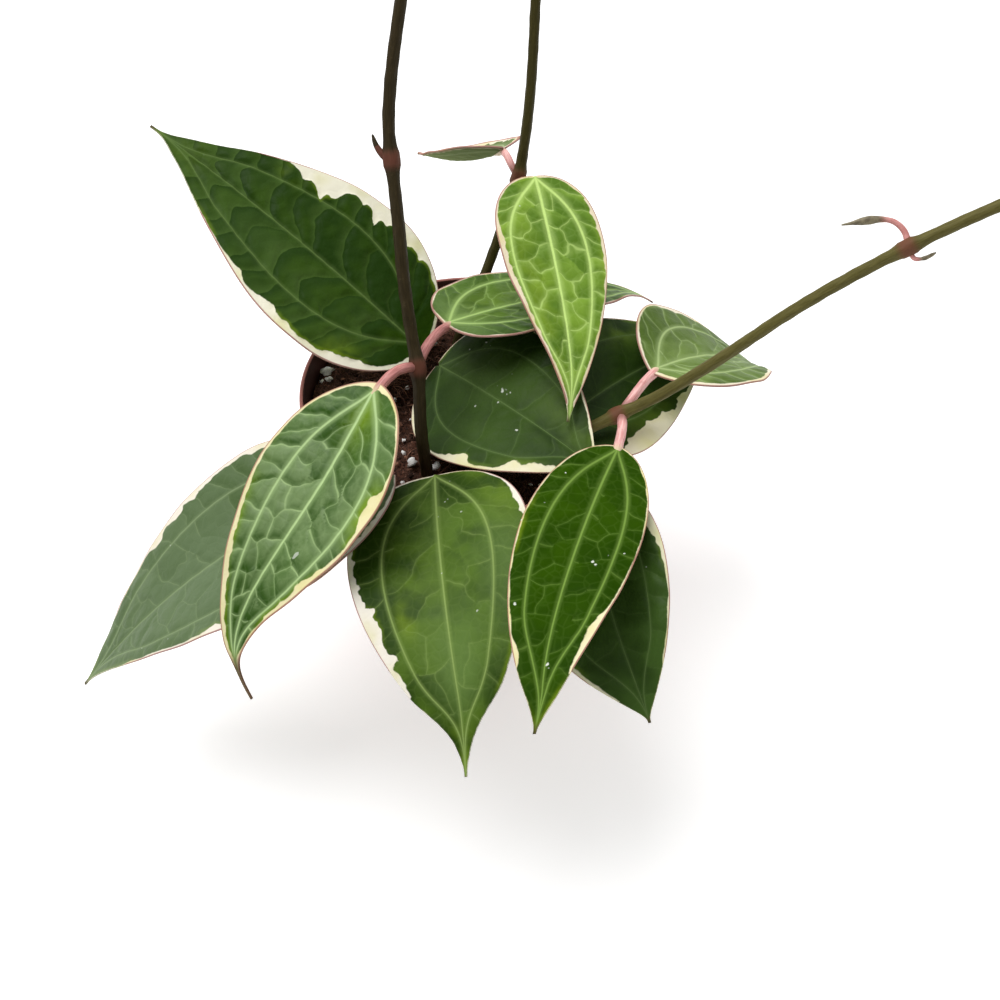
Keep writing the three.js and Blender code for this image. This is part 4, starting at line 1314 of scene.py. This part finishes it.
def wall_radius(height):
    """Outside radius of the pot's wall: a straight line from the base to the step of the rim."""
    top = POT_HEIGHT - RIM_BAND
    return BASE_RADIUS + (RIM_RADIUS - 1 - RIM_STEP - BASE_RADIUS) * height / top


def turned(profile, segments):
    """A closed piece turned about the pot's axis from its radius and height profile in mm, which
    starts and ends on the axis; returned with heights from the rim."""
    profile = np.asarray(profile, float)
    angle = np.linspace(0, 2 * np.pi, segments, endpoint=False)
    rings = profile[1:-1]
    skin = np.stack(np.broadcast_arrays(
        rings[:, :1] * np.cos(angle), rings[:, :1] * np.sin(angle), rings[:, 1:]
    ), -1).reshape(-1, 3)
    ends = np.array([[0, 0, profile[0, 1]], [0, 0, profile[-1, 1]]])
    verts = np.vstack([skin, ends]) - (0, 0, POT_HEIGHT)
    return verts, sleeve(len(rings), segments)


def rounded(profile, reach, steps=4):
    """The profile with each inner corner cut back by up to reach and rounded: points of the
    quadratic curve from one cut through the corner to the other."""
    p = np.asarray(profile, float)
    before, corner, after = p[:-2], p[1:-1], p[2:]
    cut = np.minimum(reach, 0.45 * np.linalg.norm(before - corner, axis=1))[:, None]
    one = corner + cut * unit(before - corner)
    cut = np.minimum(reach, 0.45 * np.linalg.norm(after - corner, axis=1))[:, None]
    two = corner + cut * unit(after - corner)
    t = np.linspace(0, 1, steps)[None, :, None]
    arcs = (1 - t) ** 2 * one[:, None] + 2 * t * (1 - t) * corner[:, None] + t**2 * two[:, None]
    return np.vstack([p[:1], arcs.reshape(-1, 2), p[-1:]])


class PLANT_OT_pot(Operator):
    """Make the tapered pot with its stepped rim band"""

    bl_idname = "plant.pot"
    bl_label = "Pot"

    def execute(self, context):
        band = POT_HEIGHT - RIM_BAND
        wall = wall_radius(band)
        foot = BASE_RADIUS - FOOT_RING
        profile = [
            (0, FOOT_HEIGHT), (foot - 1, FOOT_HEIGHT), (foot, 0), (BASE_RADIUS - 1, 0),
            (BASE_RADIUS, 1), (wall_radius(30), 30), (wall, band - 1),
            (RIM_RADIUS - 1, band), (RIM_RADIUS - 0.4, band + 6), (RIM_RADIUS, POT_HEIGHT - 0.4),
            (RIM_RADIUS - 0.4, POT_HEIGHT), (RIM_RADIUS - 1, POT_HEIGHT),
            (RIM_RADIUS - 1.3, POT_HEIGHT - 0.5), (RIM_RADIUS - 1 - POT_WALL, band + 1),
            (wall - POT_WALL, band - 0.6), (wall_radius(40) - POT_WALL, 40),
            (wall_radius(POT_FLOOR) - POT_WALL, POT_FLOOR), (0, POT_FLOOR),
        ]
        profile = rounded(profile, 0.5)
        verts, faces = turned(profile, POT_SEGMENTS)
        top = profile[:, 1].argmax()
        # the inside wall, which is darkened with dirt and painted shade
        inside = np.repeat(np.arange(1, len(profile) - 1) > top + 4, POT_SEGMENTS)
        marks = {"inside": np.append(inside, [False, True]).astype(float)}
        colour = [255 * c for c in context.scene.plant_looks.pot_colour]
        add_piece("nursery_pot", verts, faces, pot_finish(colour), "pot", marks)
        return {"FINISHED"}


def ground(x, y, relief):
    """Height of the soil over its mean level in mm: the CAD's long waves and clods, and on them
    crumbs and grains, the folded waves of three smaller sizes."""
    waves = np.sin(0.13 * x + 1) * np.cos(0.11 * y) + 0.5 * np.sin(0.31 * x - 0.27 * y)
    height = CLODS * (0.6 * waves + 0.4 * np.sin(0.7 * x + 0.4) * np.sin(0.63 * y + 1.1))
    for size, share, seed in ((6.5, 0.5, 11), (2.9, 0.36, 12), (1.4, 0.2, 13)):
        height = height + relief * share * (1 - 1.6 * np.abs(ripples(x, y, size, seed)))
    return height


class PLANT_OT_soil(Operator):
    """Make the peat that fills the pot, rough on top"""

    bl_idname = "plant.soil"
    bl_label = "Soil"

    def execute(self, context):
        relief = context.scene.plant_looks_ground.relief / MM
        gap = POT_WALL + CLEARANCE + 0.15
        band, top = POT_HEIGHT - RIM_BAND, POT_HEIGHT - SOIL_DEPTH
        edge = RIM_RADIUS - 1 - gap
        bottom = POT_FLOOR + CLEARANCE
        side = [
            (0, bottom), (wall_radius(bottom) - gap, bottom), (wall_radius(40) - gap, 40),
            (wall_radius(band) - gap, band - 0.3), (edge, band + 1.5), (edge, top - 1.4),
        ]
        radii = edge * np.linspace(1, 0, SOIL_RINGS)[:-1] - 0.15
        verts, faces = turned(side + [(r, top) for r in radii] + [(0, top)], SOIL_SEGMENTS)
        count = SOIL_SEGMENTS * (len(side) - 1)
        x, y = verts[count:, 0], verts[count:, 1]
        near_wall = step(np.hypot(x, y), edge - 3, edge)
        rough = ground(x, y, relief)
        verts[count:-2, 2] += (rough * (1 - 0.4 * near_wall) - 0.6 * near_wall)[:-2]
        verts[-1, 2] += rough[-1]
        add_piece("peat", verts, faces, peat_finish(), "soil")
        return {"FINISHED"}


def scattered(count, seed, reach):
    """Even random spots on the soil, out to reach from the middle: the distance grows as the root
    of a random share, so no part is crowded."""
    rng = np.random.default_rng(seed)
    out, angle = reach * np.sqrt(rng.random(count)), rng.uniform(0, 2 * np.pi, count)
    return np.stack([out * np.cos(angle), out * np.sin(angle)], -1)


def lumps(spots, sizes, seed):
    """Copies of an 80-sided ball at the spots. Each is squeezed along its axes, dented by a wave
    across it, and turned by a random rotation, whose rows come from a random unit quaternion."""
    shape = bmesh.new()
    bmesh.ops.create_icosphere(shape, subdivisions=2, radius=1)
    base = np.array([v.co for v in shape.verts])
    faces = np.array([[v.index for v in face.verts] for face in shape.faces])
    shape.free()
    rng = np.random.default_rng(seed)
    count = len(spots)
    w, x, y, z = unit(rng.normal(size=(count, 4))).T
    turn = np.array([
        [1 - 2 * (y * y + z * z), 2 * (x * y - w * z), 2 * (x * z + w * y)],
        [2 * (x * y + w * z), 1 - 2 * (x * x + z * z), 2 * (y * z - w * x)],
        [2 * (x * z - w * y), 2 * (y * z + w * x), 1 - 2 * (x * x + y * y)],
    ]).transpose(2, 0, 1)
    waves = unit(rng.normal(size=(count, 3))) @ base.T
    dents = 1 + 0.27 * np.sin(5 * waves + rng.uniform(0, 6.3, (count, 1)))
    skin = base[None] * dents[..., None] * rng.uniform(0.6, 1.1, (count, 1, 3))
    skin = np.einsum("nij,nvj->nvi", turn, skin) * sizes[:, None, None] + spots[:, None]
    faces = faces[None] + len(base) * np.arange(count)[:, None, None]
    return skin.reshape(-1, 3), faces.reshape(-1, 3).tolist()


def strands(spots, lengths, seed):
    """Thin three-sided fibres: each runs through its spot along a shallow arc, bowed sideways and
    lifted in the middle by the falling square of the way along, and thins to both ends."""
    rng = np.random.default_rng(seed)
    count, rings, sides = len(spots), 8, 3
    heading = rng.uniform(0, 2 * np.pi, count)
    ahead = np.stack([np.cos(heading), np.sin(heading), rng.uniform(-0.35, 0.35, count)], -1)
    aside = np.stack([-np.sin(heading), np.cos(heading), 0 * heading], -1)
    t = np.linspace(0, 1, rings)[None, :, None]
    arch = 1 - (2 * t - 1) ** 2
    up = np.array([0, 0, 1])
    bow, lift = rng.uniform(-0.35, 0.35, (2, count, 1, 1)) * lengths[:, None, None]
    middle = spots[:, None] + ahead[:, None] * (t - 0.5) * lengths[:, None, None]
    middle = middle + aside[:, None] * bow * arch + up * np.abs(lift) * arch
    angle = np.linspace(0, 2 * np.pi, sides, endpoint=False)[None, :, None]
    thick = rng.uniform(0.1, 0.28, (count, 1, 1)) * (0.35 + 0.65 * arch)
    ring = np.cos(angle) * aside[:, None] + np.sin(angle) * up
    skin = (middle[:, :, None] + thick[..., None] * ring[:, None]).reshape(count, -1, 3)
    verts = np.concatenate([skin, middle[:, :1], middle[:, -1:]], 1)
    size = verts.shape[1]
    one = sleeve(rings, sides)
    faces = [[corner + size * k for corner in face] for k in range(count) for face in one]
    return verts.reshape(-1, 3), faces


class PLANT_OT_crumbs(Operator):
    """Strew loose peat crumbs and fibres over the soil"""

    bl_idname = "plant.crumbs"
    bl_label = "Peat crumbs and fibres"

    def execute(self, context):
        looks = context.scene.plant_looks_ground
        relief = looks.relief / MM
        rng = np.random.default_rng(5)
        flat = scattered(looks.crumbs, 6, RIM_RADIUS - 4.2)
        sizes = rng.uniform(0.35, 1.0, len(flat)) ** 1.5 * 1.1
        height = ground(flat[:, 0], flat[:, 1], relief) - SOIL_DEPTH + 0.1 * sizes
        verts, faces = lumps(np.column_stack([flat, height]), sizes, 7)
        tone = np.repeat(rng.random(len(flat)) ** 1.6, len(verts) // len(flat))
        material = crumb_finish()
        add_piece("peat_crumbs", verts, faces, material, marks={"tone": tone})
        flat = scattered(looks.fibres, 8, RIM_RADIUS - 9)
        height = ground(flat[:, 0], flat[:, 1], relief) - SOIL_DEPTH + 0.25
        verts, faces = strands(np.column_stack([flat, height]), rng.uniform(3, 9, len(flat)), 9)
        tone = np.repeat(0.3 + 0.7 * rng.random(len(flat)), len(verts) // len(flat))
        add_piece("peat_fibres", verts, faces, material, marks={"tone": tone})
        return {"FINISHED"}


class PLANT_OT_perlite(Operator):
    """Strew white perlite over the soil"""

    bl_idname = "plant.perlite"
    bl_label = "Perlite"

    def execute(self, context):
        looks = context.scene.plant_looks_ground
        rng = np.random.default_rng(21)
        known = np.array(PERLITE_SPOTS, float)
        flat = np.vstack([known[:, :2], scattered(looks.perlite, 22, RIM_RADIUS - 5)])
        sizes = np.append(known[:, 2], rng.uniform(0.35, 1.1, looks.perlite) ** 2)
        height = ground(flat[:, 0], flat[:, 1], looks.relief / MM) - SOIL_DEPTH + 0.35 * sizes
        verts, faces = lumps(np.column_stack([flat, height]), sizes, 23)
        add_piece("perlite", verts, faces, perlite_finish())
        return {"FINISHED"}


def joined(parts):
    """Several skins as one: points, faces and marks put end to end."""
    start, verts, faces, marks = 0, [], [], {}
    for part_verts, part_faces, part_marks in parts:
        verts.append(part_verts)
        faces += [[corner + start for corner in face] for face in part_faces]
        for key, values in part_marks.items():
            marks.setdefault(key, []).append(values)
        start += len(part_verts)
    return np.vstack(verts), faces, {key: np.concatenate(v) for key, v in marks.items()}


def round_points(ways, length, sides):
    """For a rod's grid: the angle round it, and the way along it in mm."""
    return np.linspace(0, 2 * np.pi, sides, endpoint=False)[None], (ways * length)[:, None]


def point_marks(values, sides, start, end):
    """One number for each ring of a rod as a mark of its points, and of its two ends."""
    return np.append(np.repeat(values, sides), [start, end])


def stem_skin(stem):
    """A stem's rod: its radius falls from root to tip with the square of the way, swells as a bell
    at each node with a raised scar on the bell, and is fluted a little by waves round it."""
    length = smooth_path(stem["points"], np.array([0, 1.0]))[2]
    ways = np.append(np.linspace(0, 0.985, 320), [0.992, 0.997, 1.0])
    radius = stem["radius"] + (stem["tip"] - stem["radius"]) * ways**2
    off = np.stack([(ways - node) * length / NODE_HALF_LENGTH for node in stem["nodes"]])
    bell = np.exp(-(off**2)).sum(0)
    scar = 0.14 * np.exp(-(((np.abs(off) - 0.55) / 0.16) ** 2)).sum(0)
    close = np.sqrt(np.clip((1.003 - ways) / 0.018, 0, 1))
    turn, mm = round_points(ways, length, STEM_SIDES)
    flutes = 0.03 * np.sin(5 * turn + 0.05 * mm) + 0.03 * np.sin(3 * turn - 0.11 * mm)
    bumps = 0.035 * ripples(mm, 9 * np.cos(turn), 5, 31)
    radius = (radius + NODE_SWELL * bell + scar)[:, None] * (1 + flutes + bumps) * close[:, None]
    verts, faces, around = rod(stem["points"], ways, radius, STEM_SIDES)
    marks = {"around": around * (1.5, 1.5, 1), "node": point_marks(bell, STEM_SIDES, 0, 0)}
    return verts, faces, marks


def bud_skin():
    """The bud's flattened rod, which narrows to a point in four straight stretches."""
    ways = np.linspace(0, 1, 40)
    radius = np.interp(ways, [0, 0.3, 0.6, 0.85, 1], [1.3, 1.3, 1.0, 0.7, 0.3])
    verts, faces, around = rod(BUD, ways, radius, BUD_SIDES, 0.8)
    node = point_marks(0.2 + 0.8 * (ways < 0.62), BUD_SIDES, 0, 0)
    return verts, faces, {"around": around, "node": node}


class PLANT_OT_stems(Operator):
    """Make the three stems with their nodes, and the bud on the brown one"""

    bl_idname = "plant.stems"
    bl_label = "Stems"

    def execute(self, context):
        for name, stem in STEMS.items():
            parts = [stem_skin(stem)]
            if name == "stem_brown":
                parts.append(bud_skin())
            verts, faces, marks = joined(parts)
            material = stem_finish(name + "_bark", *stem["colours"], stem["pink"])
            add_piece(name + "_bark", verts, faces, material, name, marks)
        return {"FINISHED"}


def stalk_skin(leaf, wide, seed):
    """A leaf stalk's rod: it runs on under the midrib, where its radius falls to a fifth in
    straight stretches, and has a shallow groove and small waves."""
    first = 0.03 if leaf.get("hidden") else 0.012
    under, normals = on_blade(leaf, np.array([first, 0.05, 0.1]), np.zeros(3))
    points = [*leaf["stalk"], *(under - 0.62 * normals).tolist()]
    length = smooth_path(points, np.array([0, 1.0]))[2]
    hidden = 0.1 * leaf["length"] / length
    ways = np.linspace(0, 1, 70)
    knots = [0, 1 - 1.3 * hidden, 1 - hidden, 1 - 0.5 * hidden, 1]
    radius = wide * leaf.get("slim", 1) * np.interp(ways, knots, [1, 1, 1.04, 0.72, 0.2])
    turn, mm = round_points(ways, length, STALK_SIDES)
    bumps = 0.03 * ripples(mm, 7 * np.cos(turn), 4, 40 + seed) - 0.04 * np.cos(turn) ** 8
    verts, faces, around = rod(points, ways, radius[:, None] * (1 + bumps), STALK_SIDES)
    end = step(ways, 1 - 1.25 * hidden, 1 - 0.85 * hidden)
    start = 1 - step(ways * length, 2.2, 5.5)
    return verts, faces, {
        "around": around * (1.5, 1.5, 1),
        "end": point_marks(end, STALK_SIDES, 0, 1),
        "start": point_marks(start, STALK_SIDES, 1, 0),
    }


class PLANT_OT_stalks(Operator):
    """Make each leaf's pink stalk, from its stem or the soil to under its midrib"""

    bl_idname = "plant.stalks"
    bl_label = "Leaf stalks"

    def execute(self, context):
        wide = context.scene.plant_looks.stalk_radius / MM
        pink, rose = stalk_finish("pink_stalk"), stalk_finish("rose_stalk")
        for seed, (name, leaf) in enumerate(LEAVES.items()):
            verts, faces, marks = stalk_skin(leaf, wide, seed)
            material = rose if leaf.get("rose") else pink
            add_piece("stalk" + name[4:], verts, faces, material, marks=marks)
        return {"FINISHED"}


class PLANT_OT_leaves(Operator):
    """Make the twelve blades, each with its own veins, swellings and cream patches"""

    bl_idname = "plant.leaves"
    bl_label = "Leaf blades"

    def execute(self, context):
        looks = context.scene.plant_looks
        for seed, (name, own) in enumerate(LEAVES.items()):
            markings = {**own["markings"], "quilt": own["markings"]["quilt"] * looks.quilting}
            verts, faces, marks = blade_mesh({**own, "markings": markings}, 10 * seed)
            pink = markings["pink"] * looks.pink_edge
            material = leaf_finish(name + "_skin", LEAF_COLOURS[own["colours"]], pink)
            add_piece("blade" + name[4:], verts, faces, material, name, marks)
        return {"FINISHED"}


def young_skin(young):
    """An unopened leaf's rod: a stalk that thins, then the folded blade, widest at two thirds of
    the way, with a seam pressed in along one side."""
    ways = np.linspace(0, 1, 90)
    stalk, full = young["stalk"], young["fullest"]
    knots = [0, 0.1, 0.45, 0.55, 0.66, 0.76, 0.87, 1]
    wide = [1.1 * stalk, stalk, 0.8 * stalk, 0.75 * full, full, 0.85 * full, 0.5, 0.2]
    radius = np.interp(ways, knots, wide)[:, None]
    turn = np.linspace(0, 2 * np.pi, YOUNG_LEAF_SIDES, endpoint=False)[None]
    seam = 0.16 * np.exp(-((np.sin(turn / 2) / 0.12) ** 2)) * step(ways, 0.4, 0.6)[:, None]
    verts, faces, _ = rod(young["points"], ways, radius * (1 - seam), YOUNG_LEAF_SIDES)
    return verts, faces, {"end": point_marks(step(ways, 0.42, 0.58), YOUNG_LEAF_SIDES, 0, 1)}


class PLANT_OT_young_leaves(Operator):
    """Make the two unopened leaves at the green stem's far node"""

    bl_idname = "plant.young_leaves"
    bl_label = "Young leaves"

    def execute(self, context):
        material = young_finish()
        for name, young in YOUNG_LEAVES.items():
            verts, faces, marks = young_skin(young)
            add_piece(name + "_skin", verts, faces, material, name, marks)
        return {"FINISHED"}


# Stage


def link(name, data, place=(0, 0, 0)):
    """A new object in the scene."""
    made = bpy.data.objects.new(name, data)
    made.location = place
    bpy.context.scene.collection.objects.link(made)
    return made


def lay_floor(colour, glow):
    """A plain pale square that gives a little light itself."""
    mesh = bpy.data.meshes.new("floor")
    far = FLOOR_REACH
    corners = [(-far, -far, 0), (far, -far, 0), (far, far, 0), (-far, far, 0)]
    mesh.from_pydata(corners, [], [(0, 1, 2, 3)])
    white = (1, 1, 1, 1)
    mesh.materials.append(Finish("pale_floor").finish(
        (*colour, 1), 0.9, Specular_IOR_Level=0.0, Emission_Color=white, Emission_Strength=glow
    ))
    link("floor", mesh)


def light_walls(strength):
    """The studio's walls: light that grows smoothly from the camera's side to the far side."""
    world = bpy.data.worlds.new("studio")
    walls = Graph(world)
    way = walls.node("SeparateXYZ", inputs={0: walls.node("TexCoord", output="Generated")}, output=1)
    reach = {"Value": way, "From Min": -0.7, "From Max": 0.8, "To Min": 0.35, "To Max": 1.25}
    light = walls.node("MapRange", {"interpolation_type": "SMOOTHSTEP"}, reach)
    shader = walls.node("Background", inputs={"Color": light, "Strength": strength})
    walls.node("OutputWorld", inputs={"Surface": shader})
    bpy.context.scene.world = world


def hang_softbox(power):
    """A round area light, turned so that its back axis points away from its target."""
    lamp = bpy.data.lights.new("softbox", "AREA")
    lamp.shape, lamp.size, lamp.energy = "DISK", SOFTBOX_WIDTH, power
    away = Vector(SOFTBOX_PLACE) - Vector(SOFTBOX_TARGET)
    softbox = link("softbox", lamp, SOFTBOX_PLACE)
    softbox.rotation_euler = away.to_track_quat("Z", "Y").to_euler()


def set_camera():
    """The camera at the photograph's angle."""
    lens = bpy.data.cameras.new("camera")
    lens.lens, lens.sensor_width, lens.clip_start = FOCAL_LENGTH, SENSOR_WIDTH, 0.01
    camera = link("camera", lens, CAMERA_PLACE)
    camera.rotation_euler = (np.radians(90 - CAMERA_PITCH), 0, 0)
    bpy.context.scene.camera = camera
    bpy.context.scene.view_settings.view_transform = "Standard"


class PLANT_OT_stage(Operator):
    """Lay the floor, hang the lights and set the camera at the photograph's angle"""

    bl_idname = "plant.stage"
    bl_label = "Floor, light and camera"

    def execute(self, context):
        looks = context.scene.plant_looks_stage
        lay_floor(looks.floor, looks.glow)
        light_walls(looks.sky)
        hang_softbox(looks.softbox)
        set_camera()
        return {"FINISHED"}


# The add-on


MAKERS = (
    PLANT_OT_pot, PLANT_OT_soil, PLANT_OT_crumbs, PLANT_OT_perlite, PLANT_OT_stems,
    PLANT_OT_stalks, PLANT_OT_leaves, PLANT_OT_young_leaves, PLANT_OT_stage,
)


class PLANT_PT_looks(Panel):
    """The plant's pieces and the values that a user would change"""

    bl_idname = "PLANT_PT_looks"
    bl_label = "Potted plant"
    bl_space_type = "VIEW_3D"
    bl_region_type = "UI"
    bl_category = "Plant"

    def draw(self, context):
        for group in ("plant_looks", "plant_looks_ground", "plant_looks_stage"):
            looks = getattr(context.scene, group)
            box = self.layout.box()
            for key in looks.__annotations__:
                box.prop(looks, key)
        for maker in MAKERS:
            self.layout.operator(maker.bl_idname)


CLASSES = (PlantLooks, GroundLooks, StageLooks, *MAKERS, PLANT_PT_looks)


def register():
    """Adds the operators, the panel and the values to change."""
    for cls in CLASSES:
        bpy.utils.register_class(cls)
    bpy.types.Scene.plant_looks = PointerProperty(type=PlantLooks)
    bpy.types.Scene.plant_looks_ground = PointerProperty(type=GroundLooks)
    bpy.types.Scene.plant_looks_stage = PointerProperty(type=StageLooks)


def unregister():
    """Takes out what register added."""
    del bpy.types.Scene.plant_looks_stage
    del bpy.types.Scene.plant_looks_ground
    del bpy.types.Scene.plant_looks
    for cls in reversed(CLASSES):
        bpy.utils.unregister_class(cls)


def main():
    """Makes every piece and the stage."""
    register()
    bpy.ops.plant.pot()
    bpy.ops.plant.soil()
    bpy.ops.plant.crumbs()
    bpy.ops.plant.perlite()
    bpy.ops.plant.stems()
    bpy.ops.plant.stalks()
    bpy.ops.plant.leaves()
    bpy.ops.plant.young_leaves()
    bpy.ops.plant.stage()


if __name__ == "__main__":
    main()
